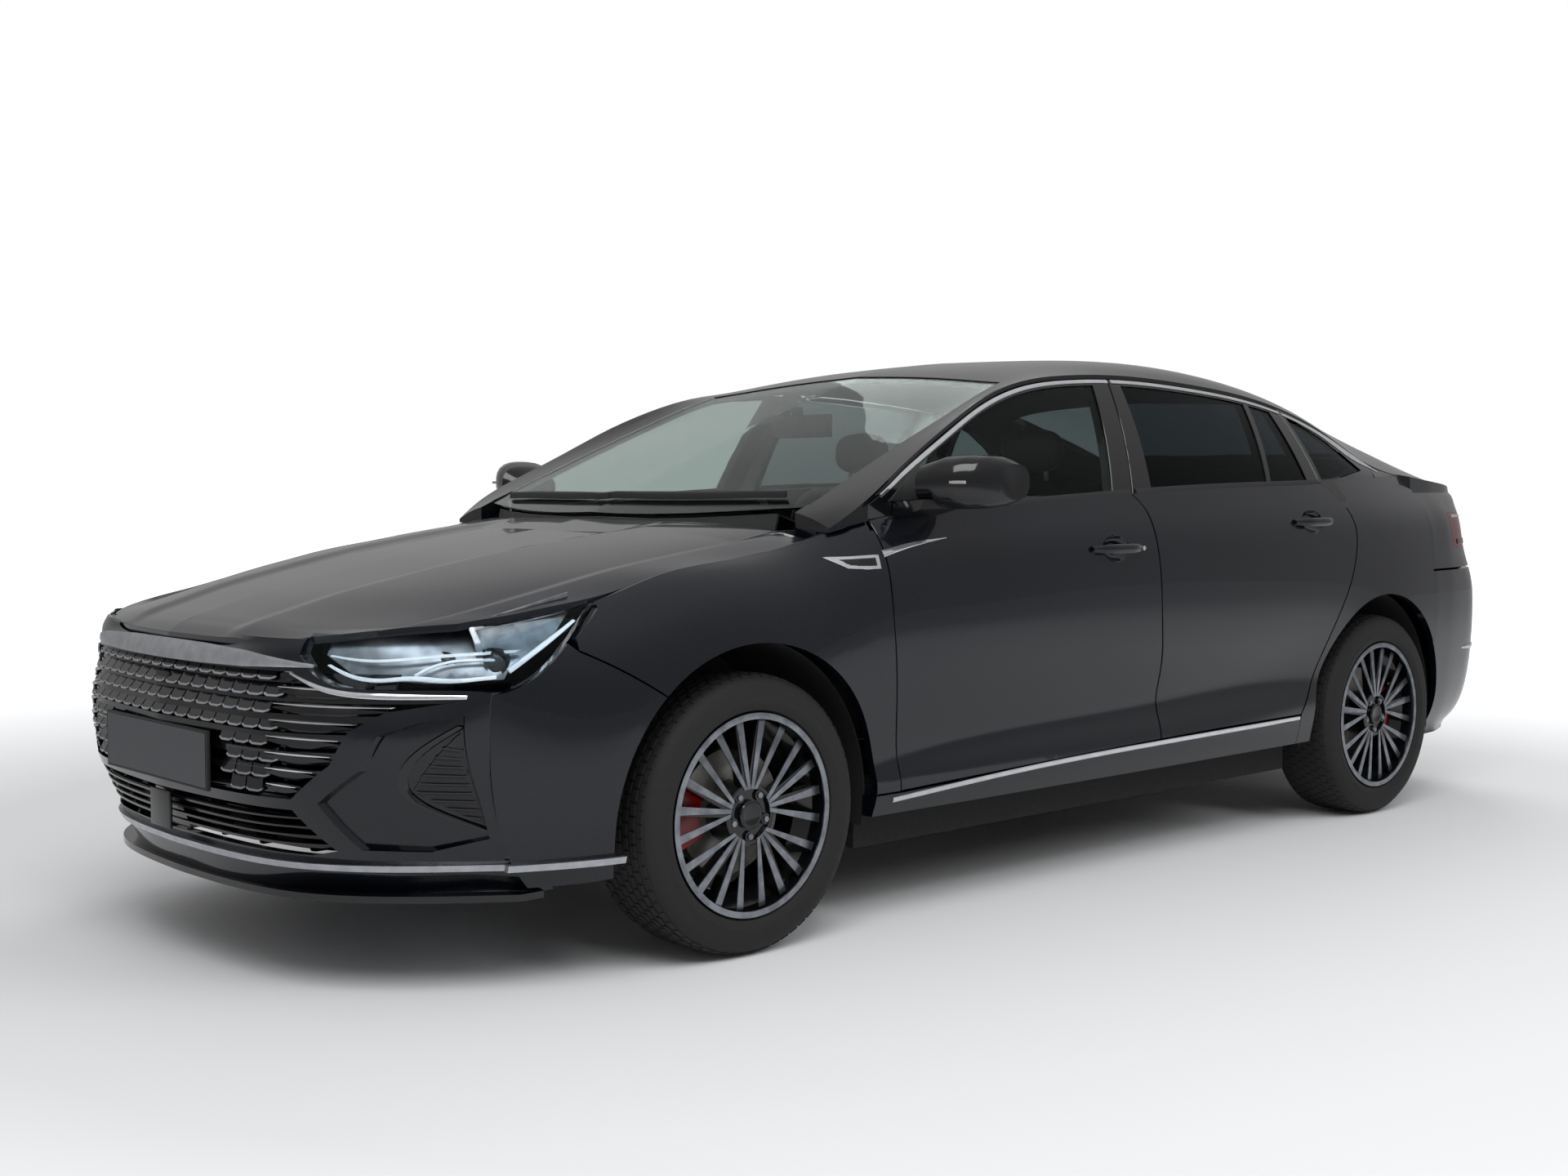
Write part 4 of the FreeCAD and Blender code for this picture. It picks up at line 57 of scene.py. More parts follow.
# Feature lines of the body as shares of length, half width and height
sideStations = (.420, .365, .323, .281, .240, .198, .146, .062, -.042, -.146, -.229, -.296, -.365, -.417,
                -.458)
sideRows = (   # outward and upward shares at each station, from the belt down to the sill
    ((.830, .530), (.871, .562), (.871, .601), (.868, .619), (.866, .639), (.909, .674), (.940, .693),
     (.945, .706), (.945, .722), (.938, .732), (.923, .738), (.887, .748), (.838, .752), (.800, .738),
     (.751, .723)),
    ((.850, .518), (.905, .546), (.909, .586), (.910, .607), (.910, .624), (.938, .654), (.958, .662),
     (.962, .676), (.963, .689), (.958, .698), (.947, .703), (.923, .709), (.884, .714), (.849, .707),
     (.800, .699)),
    ((.864, .495), (.942, .511), (.958, .551), (.962, .572), (.960, .588), (.971, .615), (.981, .625),
     (.985, .638), (.986, .646), (.984, .651), (.978, .652), (.971, .656), (.949, .659), (.914, .662),
     (.860, .662)),
    ((.872, .452), (.962, .464), (.981, .501), (.988, .518), (.986, .531), (.988, .565), (.991, .572),
     (.993, .582), (.995, .588), (.993, .592), (.989, .592), (.981, .592), (.962, .592), (.925, .598),
     (.871, .605)),
    ((.875, .385), (.972, .390), (.992, .430), (.999, .451), (.997, .464), (.996, .484), (.998, .491),
     (.999, .498), (1.0, .501), (1.0, .504), (.999, .508), (.995, .514), (.979, .511), (.944, .514),
     (.890, .521)),
    ((.874, .316), (.974, .316), (.990, .350), (.995, .377), (.990, .383), (.986, .397), (.986, .403),
     (.986, .407), (.987, .410), (.988, .417), (.991, .430), (.996, .437), (.981, .430), (.947, .430),
     (.892, .437)),
    ((.868, .266), (.971, .266), (.985, .289), (.985, .309), (.977, .313), (.963, .309), (.953, .316),
     (.949, .326), (.947, .336), (.951, .350), (.968, .356), (.985, .363), (.974, .356), (.938, .356),
     (.884, .363)),
    ((.860, .229), (.966, .229), (.979, .235), (.977, .249), (.972, .262), (.962, .266), (.951, .279),
     (.944, .292), (.942, .301), (.947, .315), (.963, .309), (.977, .303), (.966, .289), (.930, .289),
     (.874, .296)),
    ((.850, .195), (.960, .195), (.971, .202), (.971, .208), (.971, .222), (.977, .235), (.981, .241),
     (.984, .246), (.985, .248), (.985, .253), (.979, .259), (.968, .242), (.952, .222), (.916, .222),
     (.860, .232)),
    ((.827, .156), (.938, .158), (.949, .168), (.949, .176), (.951, .182), (.951, .185), (.952, .185),
     (.953, .185), (.953, .185), (.953, .186), (.949, .187), (.942, .188), (.920, .176), (.871, .168),
     (.805, .176)),
)
sideLines = [[(x, *spot) for x, spot in zip(sideStations, row)] for row in sideRows]
hoodLines = (
    ((.225, .000, .685), (.244, .000, .677), (.281, .000, .663), (.323, .000, .645), (.365, .000, .624),
     (.406, .000, .597), (.440, .000, .573), (.470, .000, .547), (.484, .000, .529), (.492, .000, .509)),
    ((.225, .300, .683), (.244, .300, .675), (.281, .300, .661), (.323, .300, .643), (.365, .300, .622),
     (.406, .300, .595), (.440, .298, .571), (.467, .296, .545), (.481, .294, .528), (.489, .292, .509)),
    ((.225, .560, .676), (.244, .558, .669), (.281, .555, .655), (.323, .550, .636), (.365, .545, .613),
     (.406, .540, .584), (.437, .535, .556), (.460, .530, .536), (.474, .526, .523), (.481, .524, .514)),
    ((.225, .740, .664), (.244, .740, .658), (.281, .738, .642), (.323, .732, .621), (.365, .722, .596),
     (.400, .708, .570), (.420, .698, .555), (.434, .690, .546), (.446, .683, .538), (.454, .678, .532)),
    ((.225, .866, .642), (.240, .866, .636), (.281, .868, .619), (.323, .871, .601), (.345, .868, .582),
     (.365, .856, .568), (.382, .838, .559), (.398, .815, .550), (.412, .795, .544), (.425, .775, .538)),
)
topLines = (
    ((.262, .000, .664), (.244, .000, .686), (.190, .000, .757), (.138, .000, .828), (.080, .000, .900),
     (.031, .000, .956), (.000, .000, .977), (-.031, .000, .990), (-.073, .000, 1.0), (-.135, .000, .997),
     (-.188, .000, .981), (-.242, .000, .954), (-.294, .000, .915), (-.348, .000, .864),
     (-.406, .000, .800),
     (-.455, .000, .748), (-.490, .000, .716)),
    ((.262, .400, .655), (.242, .400, .679), (.190, .390, .748), (.138, .385, .820), (.080, .380, .891),
     (.031, .375, .948), (.000, .375, .971), (-.031, .375, .985), (-.073, .375, .996), (-.135, .375, .993),
     (-.188, .370, .977), (-.242, .365, .949), (-.294, .365, .909), (-.348, .370, .858),
     (-.406, .380, .795),
     (-.455, .385, .744), (-.490, .385, .712)),
    ((.262, .820, .634), (.220, .780, .692), (.184, .757, .739), (.146, .738, .790), (.094, .715, .856),
     (.042, .680, .925), (.000, .658, .957), (-.031, .656, .973), (-.073, .656, .983), (-.135, .655, .980),
     (-.188, .645, .965), (-.242, .634, .938), (-.294, .628, .900), (-.348, .634, .850),
     (-.406, .656, .788),
     (-.455, .678, .738), (-.490, .670, .708)),
    ((.262, .850, .600), (.222, .882, .658), (.195, .923, .714), (.164, .880, .766), (.127, .847, .827),
     (.085, .803, .888), (.044, .776, .927), (.005, .765, .943), (-.052, .760, .950), (-.119, .760, .942),
     (-.183, .760, .924), (-.220, .765, .904), (-.271, .798, .850), (-.324, .836, .775),
     (-.359, .845, .755),
     (-.410, .806, .740), (-.458, .751, .723), (-.490, .700, .700)),
)
noseAcross = (.000, .328, .546, .710, .820, .874)
nosePlans = (   # height, and how far ahead the nose is at each place across
    (.148, (.484, .479, .461, .433, .405, .392)),
    (.202, (.488, .484, .472, .447, .421, .406)),
    (.269, (.496, .492, .482, .459, .430, .411)),
    (.336, (.500, .496, .487, .466, .438, .417)),
    (.404, (.499, .495, .487, .467, .440, .420)),
    (.444, (.497, .493, .484, .463, .436, .419)),
    (.484, (.494, .491, .481, .457, .428, .409)),
    (.518, (.490, .487, .477, .444, .405, .385)),
    (.551, (.485, .482, .462, .421, .375, .355)),
)
tailPlan = (
    (.000, -.5000), (.200, -.4990), (.400, -.4960), (.560, -.4910), (.680, -.4840), (.780, -.4750),
    (.850, -.4640), (.900, -.4500), (.930, -.4350), (.948, -.4170), (.964, -.3960), (.979, -.3650),
)
tailProfile = (
    (.148, .022), (.190, .009), (.240, .003), (.300, .000), (.440, .000), (.520, .003),
    (.560, .008), (.600, .011), (.660, .011), (.690, .008), (.712, .005), (.730, .012),
)
# Shut lines and window outlines seen from the side, as shares of length and height
doorFront = ((.1955, .7120), (.1950, .6900), (.1935, .6600), (.1905, .5400), (.1860, .4000), (.1820, .3000),
             (.1800, .2240))
pillarTop = ((-.0385, .9500), (-.0201, .7146))
pillarLine = ((-.0201, .7146), (-.0270, .6950), (-.0320, .6500), (-.0356, .5700), (-.0380, .4700),
              (-.0425, .3900), (-.0445, .3100), (-.0436, .2440))
rearDoorLine = ((-.2300, .7400), (-.2400, .7200), (-.2540, .6800), (-.2588, .6350), (-.2558, .5820),
                (-.2460, .5150), (-.2330, .4500), (-.2200, .3750), (-.2085, .3050), (-.1960, .2500))
doorFoot = ((.1800, .2240), (.0600, .2360), (-.0436, .2440))
rearDoorFoot = ((-.0436, .2440), (-.1200, .2480), (-.1960, .2500))
frontGlass = ((.1640, .7190), (.0600, .7140), (-.0020, .7180))
rearGlass = ((-.0400, .7280), (-.1000, .7310), (-.1650, .7370))
ventGlass = ((-.1700, .7380), (-.2150, .7420))
bonnetRear = (.2500, .2470, .2380, .2290, .2230)


# Natural cubic splines and the blended cross-sections, for whole arrays of points
def naturalBends(places):
    count = len(places)
    gaps = np.diff(places)
    left, right = np.eye(count), np.zeros((count, count))
    for i in range(1, count - 1):
        left[i, i - 1:i + 2] = gaps[i - 1], 2 * (gaps[i - 1] + gaps[i]), gaps[i]
        right[i, i - 1:i + 2] = 6 / gaps[i - 1], -6 / gaps[i - 1] - 6 / gaps[i], 6 / gaps[i]
    return np.linalg.solve(left, right)


def splineAt(places, values, x):
    places, values, x = np.asarray(places, float), np.asarray(values, float), np.asarray(x, float)
    bends = naturalBends(places) @ values
    inside = np.clip(x, places[0], places[-1])
    i = np.clip(np.searchsorted(places, inside, side="right") - 1, 0, len(places) - 2)
    pick = (lambda table, row: table[row]) if values.ndim == 1 else (
        lambda table, row: table[row, np.arange(len(x))])
    y0, y1, b0, b1 = pick(values, i), pick(values, i + 1), pick(bends, i), pick(bends, i + 1)
    span, near = places[i + 1] - places[i], inside - places[i]
    far = span - near
    value = (b0 * far ** 3 + b1 * near ** 3) / (6 * span) + (y0 / span - b0 * span / 6) * far \
        + (y1 / span - b1 * span / 6) * near
    slope = (y1 - y0) / span + np.where(near < far, -span * (2 * b0 + b1), span * (b0 + 2 * b1)) / 6
    return value + slope * (x - inside)


def curveWeights(count, place):
    place = np.clip(np.atleast_1d(place), 0, 1)
    step = place * (count + 1)
    first = np.minimum(step.astype(int), count)
    t = step - first
    shares = np.stack([(1 - t) ** 3, 3 * t ** 3 - 6 * t * t + 4, -3 * t ** 3 + 3 * t * t + 3 * t + 1,
                       t ** 3], 1) / 6
    weights = np.zeros((len(place), count))
    for k in range(4):
        np.add.at(weights, (np.arange(len(place)), np.clip(first + k - 2, 0, count - 1)), shares[:, k])
    return weights


def lineCorners(lines, x):
    outward, upward = [], []
    for line in lines:
        points = sorted(line)
        places = [p[0] * length for p in points]
        outward.append(splineAt(places, [p[1] * half for p in points], x))
        upward.append(splineAt(places, [p[2] * height for p in points], x))
    return np.array(outward), np.array(upward)


def crossing(rising, other, level):   # value of other where each column of rising reaches its level
    count = len(rising)
    i = np.clip((rising < level).sum(0) - 1, 0, count - 2)
    columns = np.arange(rising.shape[1])
    low, high = rising[i, columns], rising[i + 1, columns]
    share = np.clip((level - low) / np.where(high == low, 1, high - low), 0, 1)
    return other[i, columns] + (other[i + 1, columns] - other[i, columns]) * share


fine = np.linspace(0, 1, 220)
sideWeights, topWeights = curveWeights(len(sideLines), fine), curveWeights(len(topLines), fine)


def sideOut(x, z):
    outward, upward = lineCorners(sideLines, x)
    return crossing(-(sideWeights @ upward), sideWeights @ outward, -z)


def beltAndRoof(x):
    belt, roof = lineCorners(sideLines[:1], x), lineCorners(topLines[3:], x)
    return belt[0][0], belt[1][0], roof[0][0], roof[1][0]


def cabinOut(x, z):
    beltOut, beltUp, roofOut, roofUp = beltAndRoof(x)
    rise = roofUp - beltUp
    climb = (z - beltUp) / rise
    return beltOut + (roofOut - beltOut) * climb + panel["cabinBulgeShare"] * rise * 4 * climb * (1 - climb)


def topUp(x, y):
    outward, upward = lineCorners(topLines, x)
    return crossing(topWeights @ outward, topWeights @ upward, np.abs(y))


def noseAhead(y, z):
    levels = [level for level, plan in nosePlans]
    level = np.clip(z / height, levels[0], levels[-1])
    columns = [splineAt(levels, [plan[k] * length for _, plan in nosePlans], level)
               for k in range(len(noseAcross))]
    return splineAt([place * half for place in noseAcross], np.array(columns), np.abs(y))


def tailSpot(place, z):   # place from 0 in the middle to 1 at the wheel arch, negative on the right
    steps = np.linspace(0, 1, len(tailPlan))
    handover = tailPlan[-2][1] * length
    narrowing = sideOut(np.full_like(z, handover), z) / (half * tailPlan[-2][0])
    x = splineAt(steps, [p[1] * length for p in tailPlan], np.abs(place))
    out = splineAt(steps, [p[0] * half for p in tailPlan], np.abs(place)) * narrowing
    lean = splineAt([p[0] * height for p in tailProfile], [p[1] * length for p in tailProfile], z)
    lean = lean * np.clip((handover - x) / (length * .04), 0, 1)
    return x + lean, out * np.where(place < 0, -1, 1), z


# Each map takes flat points to the body's surface, sunk by a distance
def onSide(flat, sink):
    return np.stack([flat[:, 0], sideOut(flat[:, 0], flat[:, 1]) - sink, flat[:, 1]], 1)


def onCabin(flat, sink):
    return np.stack([flat[:, 0], cabinOut(flat[:, 0], flat[:, 1]) - sink, flat[:, 1]], 1)


def onTop(flat, sink):
    return np.stack([flat[:, 0], flat[:, 1], topUp(flat[:, 0], flat[:, 1]) - sink], 1)


def onNose(flat, sink):
    return np.stack([noseAhead(flat[:, 0], flat[:, 1]) - sink, flat[:, 0], flat[:, 1]], 1)


def onTail(flat, sink):   # flat points are place times the tail's reach, and height
    x, y, z = tailSpot(flat[:, 0] / tailReach, flat[:, 1])
    across = np.clip(flat[:, 0] / tailReach * 6, -1, 1) * math.sqrt(.5)
    return np.stack([x + sink * np.sqrt(1 - across ** 2), y - sink * across, z], 1)


def onBonnet(flat, sink):   # flat points are run along the bonnet and place across it, both in metres
    run, place = flat[:, 0] / bonnetReach, flat[:, 1] / bonnetReach
    corners = []
    for k, line in enumerate(hoodLines):
        rear = bonnetRear[k] * length
        x = rear + (line[-1][0] * length - rear) * run
        outward, upward = lineCorners((line,), x)
        corners.append(np.stack([x, outward[0] - (gap if k == len(hoodLines) - 1 else 0), upward[0]]))
    weights = curveWeights(len(hoodLines), np.abs(place))
    spot = np.einsum("nk,kcn->nc", weights, np.array(corners))
    spot[:, 1] *= np.where(place < 0, -1, 1)
    spot[:, 2] -= sink
    return spot


tailReach, bonnetReach = 1.35, 1.3


# Outlines
def along(shares, shift=0, rise=0):
    return [(a * length + shift, b * height + rise) for a, b in shares]


def straight(points):
    return [[points[i], points[i + 1]] for i in range(len(points) - 1)]


def smoothRun(points, step):   # natural spline through the points by the length between them
    points = np.array(points, float)
    reach = np.concatenate([[0], np.cumsum(np.hypot(*np.diff(points, axis=0).T))])
    places = np.linspace(0, reach[-1], max(2, int(reach[-1] / step) + 1))
    if len(points) == 2:
        return np.stack([np.interp(places, reach, points[:, k]) for k in (0, 1)], 1)
    return np.stack([splineAt(reach, points[:, k], places) for k in (0, 1)], 1)


def loopOf(stretches, step):
    spots = []
    for i, stretch in enumerate(stretches):
        follower = stretches[(i + 1) % len(stretches)][0]
        spots += [tuple(p) for p in smoothRun(stretch, step)]
        if math.dist(stretch[-1], follower) > 1e-6:
            spots += [tuple(p) for p in smoothRun([stretch[-1], follower], step)]
    kept = [spots[0]]
    for spot in spots[1:]:
        if math.dist(spot, kept[-1]) > 2e-4:
            kept.append(spot)
    if math.dist(kept[0], kept[-1]) < 2e-4:
        kept.pop()
    return np.array(kept)


def insideLoop(loop, spots):
    x, z = spots[:, :1], spots[:, 1:]
    a, b = loop, np.roll(loop, -1, 0)
    crosses = (a[:, 1] > z) != (b[:, 1] > z)
    with np.errstate(divide="ignore", invalid="ignore"):
        at = a[:, 0] + (z - a[:, 1]) * (b[:, 0] - a[:, 0]) / (b[:, 1] - a[:, 1])
    return (crosses & (x < at)).sum(1) % 2 == 1


# A closed panel: dense outer skin, a small chamfer round its edge, walls and an inner skin
def panelData(place, outline, holes, depth, sink=0, grid=None, edge=None):
    grid = grid or panel["grid"]
    edge = panel["edge"] if edge is None else edge
    loops = [outline] + list(holes)
    low, high = outline.min(0), outline.max(0)
    columns = np.arange(low[0] + grid / 2, high[0], grid)
    rows = np.arange(low[1] + grid / 2, high[1], grid)
    inner = np.array([(x + (j % 2) * grid / 2, z) for j, z in enumerate(rows) for x in columns])
    rims = np.concatenate(loops)
    if len(inner):
        keep = insideLoop(outline, inner)
        for hole in holes:
            keep &= ~insideLoop(hole, inner)
        inner = inner[keep]
    if len(inner):
        near = np.array([np.min(np.hypot(rims[:, 0] - p[0], rims[:, 1] - p[1])) for p in inner])
        inner = inner[near > grid * .5]
    spots = np.concatenate([rims, inner]) if len(inner) else rims
    edges, start = [], 0
    for loop in loops:
        count = len(loop)
        edges += [(start + i, start + (i + 1) % count) for i in range(count)]
        start += count
    flat, _, faces, _, _, _ = delaunay_2d_cdt([Vector(p) for p in spots], edges, [], 0, 1e-6)
    flat = np.array([tuple(p) for p in flat])
    faces = np.array(faces)
    middles = flat[faces].mean(1)
    keep = insideLoop(outline, middles)
    for hole in holes:
        keep &= ~insideLoop(hole, middles)
    corners = flat[faces]
    area = np.cross(corners[:, 1] - corners[:, 0], corners[:, 2] - corners[:, 0])
    faces = faces[keep & (np.abs(area) > 1e-10)]
    area = area[keep & (np.abs(area) > 1e-10)]
    faces[area < 0] = faces[area < 0][:, ::-1]
    used = np.unique(faces)
    lookup = np.full(len(flat), -1)
    lookup[used] = np.arange(len(used))
    flat, faces = flat[used], lookup[faces]
    count = len(flat)
    directed = {(int(a), int(b)) for tri in faces for a, b in zip(tri, np.roll(tri, -1))}
    border = [(a, b) for a, b in directed if (b, a) not in directed]
    pushes = np.zeros((count, 2))
    for a, b in border:
        run = flat[b] - flat[a]
        run /= max(np.hypot(*run), 1e-9)
        inwards = np.array([-run[1], run[0]])
        pushes[a] += inwards
        pushes[b] += inwards
    rim = sorted({a for a, b in border})
    sizes = np.maximum(np.hypot(*pushes[rim].T), .6)
    shrunk = flat.copy()
    shrunk[rim] += pushes[rim] / sizes[:, None] * edge * np.clip(2 / sizes[:, None], 1, 1.6)
    rimAt = {a: k for k, a in enumerate(rim)}
    outer = place(shrunk, sink)
    middle = place(flat[rim], sink + edge)
    innerSkin = place(shrunk, sink + depth)
    points = np.concatenate([outer, middle, innerSkin])
    deep = count + len(rim)
    polygons = [tuple(int(i) for i in tri) for tri in faces]
    polygons += [tuple(int(i) + deep for i in tri[::-1]) for tri in faces]
    for a, b in border:
        ra, rb = count + rimAt[a], count + rimAt[b]
        polygons.append((b, a, ra, rb))
        polygons.append((rb, ra, deep + a, deep + b))
    return points, polygons


def meshObject(name, parts, material, smoothAngle=32):
    points, polygons = [], []
    for spots, faces in parts:
        start = len(points)
        points += [tuple(p) for p in spots]
        polygons += [tuple(start + i for i in face) for face in faces]
    mesh = bpy.data.meshes.new(name)
    mesh.from_pydata(points, [], polygons)
    shell = bmesh.new()
    shell.from_mesh(mesh)
    bmesh.ops.recalc_face_normals(shell, faces=shell.faces)
    shell.to_mesh(mesh)
    shell.free()
    mesh.polygons.foreach_set("use_smooth", [True] * len(mesh.polygons))
    mesh.set_sharp_from_angle(angle=math.radians(smoothAngle))
    mesh.materials.append(material)
    made = bpy.data.objects.new(name, mesh)
    bpy.context.scene.collection.objects.link(made)
    return made


def loft(rings):   # closed form through rings of equal counts, capped at both ends
    rings = np.asarray(rings, float)
    rows, count = rings.shape[:2]
    points = rings.reshape(-1, 3)
    polygons = [(r * count + k, r * count + (k + 1) % count, (r + 1) * count + (k + 1) % count,
                 (r + 1) * count + k)
                for r in range(rows - 1) for k in range(count)]
    polygons += [tuple(range(count))[::-1], tuple((rows - 1) * count + k for k in range(count))]
    return points, polygons


def flipped(part):
    points, faces = part
    return points * np.array([1, -1, 1]), [face[::-1] for face in faces]


def asBuilt(part):
    return part


def both(part):
    return [part, flipped(part)]


def bothOf(parts):
    return [p for part in parts for p in both(part)]


def turnsOf(count):
    return np.arange(count) * 2 * math.pi / count


def fitted(name, parts, material, body="body", smoothAngle=32):   # a piece that moves with one body
    piece = meshObject(name, parts, material, smoothAngle)
    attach(piece, body)
    return piece


sides = (("left", asBuilt), ("right", flipped))


# Finishes
def linear(hexText):
    parts = [int(hexText[i:i + 2], 16) / 255 for i in (1, 3, 5)]
    return tuple(c / 12.92 if c <= .04045 else ((c + .055) / 1.055) ** 2.4 for c in parts) + (1,)


def addNode(tree, kind, settings=None, links=None):
    made = tree.nodes.new(kind)
    for name, value in (settings or {}).items():
        if name in made.inputs:
            made.inputs[name].default_value = value
        else:
            setattr(made, name, value)
    for name, source in (links or {}).items():
        tree.links.new(source, made.inputs[name])
    return made


def finish(name, colour, roughness, metallic=0, **more):
    made = bpy.data.materials.new(name)
    made.use_nodes = True
    tree = made.node_tree
    shader = tree.nodes["Principled BSDF"]
    shader.inputs["Base Color"].default_value = linear(colour)
    shader.inputs["Roughness"].default_value = roughness
    shader.inputs["Metallic"].default_value = metallic
    for key, value in more.items():
        shader.inputs[key].default_value = value
    return made, tree, shader


def mottled(tree, shader, low, high, millimetres, bump=0):   # two close colours and a fine bump
    coordinates = addNode(tree, "ShaderNodeTexCoord")
    noise = addNode(tree, "ShaderNodeTexNoise", {"Scale": 1000 / millimetres, "Detail": 3},
                    {"Vector": coordinates.outputs["Object"]})
    ramp = addNode(tree, "ShaderNodeValToRGB", {}, {"Fac": noise.outputs["Fac"]})
    ramp.color_ramp.elements[0].color, ramp.color_ramp.elements[1].color = linear(low), linear(high)
    ramp.color_ramp.elements[0].position, ramp.color_ramp.elements[1].position = .35, .65
    tree.links.new(ramp.outputs["Color"], shader.inputs["Base Color"])
    if bump:
        relief = addNode(tree, "ShaderNodeBump", {"Strength": .3, "Distance": bump},
                         {"Height": noise.outputs["Fac"]})
        tree.links.new(relief.outputs["Normal"], shader.inputs["Normal"])


def darkMetallicPaint():   # clear-coated basecoat with fine aluminium flake: deep blue-black, mirror gloss
    made, tree, shader = finish("darkMetallicPaint", "#060810", .30, .25)
    shader.inputs["Coat Weight"].default_value = .8
    shader.inputs["Coat Roughness"].default_value = .03
    shader.inputs["Specular IOR Level"].default_value = .1
    mottled(tree, shader, "#04060C", "#0A0D18", 1.6)
    return made


def plainPlastic(name, low, high, roughness, millimetres=.8, bump=.00005):   # moulded, faint grain
    made, tree, shader = finish(name, low, roughness)
    mottled(tree, shader, low, high, millimetres, bump)
    return made


def tintedGlass(name, colour):   # float glass, tinted in the mass
    made, tree, shader = finish(name, colour, .0)
    shader.inputs["Transmission Weight"].default_value = 1
    shader.inputs["IOR"].default_value = 1.12
    return made


def castAlloy(name, low, high, roughness):   # aluminium, painted or machined, slight cloudiness
    made, tree, shader = finish(name, low, roughness, .9)
    mottled(tree, shader, low, high, 30)
    return made


paint = darkMetallicPaint()
glossBlack = plainPlastic("glossBlackPlastic", "#08090B", "#0C0D10", .12, 3, 0)
mattBlack = plainPlastic("grainedBlackPlastic", "#111214", "#1A1B1D", .6)
underseal = plainPlastic("underseal", "#0C0C0D", "#161617", .85, 6, .0004)
lightTrim = plainPlastic("lightCabinTrim", "#8C8A86", "#9B9995", .65)
clearGlass = tintedGlass("greenTintedGlass", "#B9C4C0")
darkGlass = tintedGlass("privacyGlass", "#5B6468")
lampGlass = tintedGlass("lampPolycarbonate", "#E6EEF2")
redLens = plainPlastic("redLens", "#3A0406", "#5A070A", .08, 9, 0)
machinedAlloy = castAlloy("machinedAlloy", "#6C7076", "#8A8E94", .28)
castIron = castAlloy("castIron", "#2B2B2D", "#3A3A3B", .6)
brushedSteel = castAlloy("brushedSteel", "#76746F", "#8E8B86", .4)
silverTrim = castAlloy("satinSilverTrim", "#A3A6AB", "#B4B7BC", .3)
chrome = castAlloy("platedChrome", "#C9CBCF", "#D3D5D8", .12)
darkChrome = castAlloy("darkChrome", "#9A9DA3", "#AEB1B7", .2)
satinGrey = castAlloy("satinGreyTrim", "#A2A4A8", "#B2B4B8", .38)
plateGrey = plainPlastic("blankPlate", "#2C2F33", "#34373C", .45, 3, 0)
lampDark = castAlloy("lampHousing", "#6E7176", "#8A8D92", .3)
lampWhite = plainPlastic("lightGuide", "#D9DDE2", "#E6E9ED", .25, 3, 0)
lampEye = plainPlastic("lampProjector", "#0A0C10", "#14181F", .05, 3, 0)
caliperRed = plainPlastic("caliperRed", "#6E0A0C", "#8A0F11", .3, 5, 0)
tyreRubber = plainPlastic("tyreRubber", "#0E0E0F", "#161616", .8, 4, .0002)
seatLeather = plainPlastic("seatLeather", "#2A2624", "#37322F", .55, 2.5, .0002)
print("finishes made")

nodeFinishes = {
    "body_shell": paint, "floor_pan": underseal, "bonnet": paint, "boot_lid": paint, "front_bumper": paint,
    "rear_bumper": paint, "front_splitter": silverTrim, "headlamps": lampGlass, "tail_lamps": redLens,
    "boot_lamp": redLens, "struts": castIron, "windscreen": clearGlass, "rear_screen": darkGlass,
    "quarter_windows": darkGlass, "dashboard": mattBlack, "steering_wheel": mattBlack,
    "front_seats": seatLeather, "rear_bench": seatLeather, "engine_block": castIron,
                "exhaust": brushedSteel,
    "front_subframe": castIron, "rear_axle": castIron, "glass_front": clearGlass, "glass_rear": darkGlass,
    "door": paint, "wing": paint, "knuckle": castIron, "wheel": glossBlack,
    "cowl": mattBlack, "grille": glossBlack, "cabin_mirror": mattBlack, "tyre": tyreRubber,
}
for name, item in nodes.items():
    key = max((k for k in nodeFinishes if name.startswith(k)), key=len)
    item.data.materials.clear()
    item.data.materials.append(nodeFinishes[key])


# Body panels
def roofEdge(start, end, drop, count):
    places = np.linspace(start, end, count + 1)
    return [(x, z - drop) for x, z in zip(places, beltAndRoof(places)[3])]


def beltUp(x):
    return float(beltAndRoof(np.array([x]))[1][0])


def glassOutline(foot, topRear, topFront):
    drop = panel["frameWidth"] + gap
    return straight(along(foot)) + [roofEdge(length * topRear, length * topFront, drop, 7)]


step = .014
handle = {"front": (.030, .917), "rear": (-.985, .976), "long": .218, "tall": .027, "proud": .034,
          "cup": (.060, .036), "cupDeep": .019}


def cupRing(spot, share):
    turns = turnsOf(44)
    wide, tall = handle["cup"]
    return np.stack([spot[0] + wide * share * np.cos(turns), spot[1] + tall * share * np.sin(turns)], 1)


def cupBowl(spot):
    shares = list(np.linspace(.04, 1.02, 12))
    front = [onSide(cupRing(spot, share), .001 + handle["cupDeep"] * (1 - min(share, 1) ** 4))
             for share in shares]
    back = [onSide(cupRing(spot, share), .022) for share in shares[::-1]]
    return loft(front + back)


frontWindow = loopOf(glassOutline(frontGlass, -.0215, .1560), step)
rearWindow = loopOf(glassOutline(rearGlass, -.1790, -.0490), step)
ventWindow = loopOf(glassOutline(ventGlass, -.2090, -.1850), step)


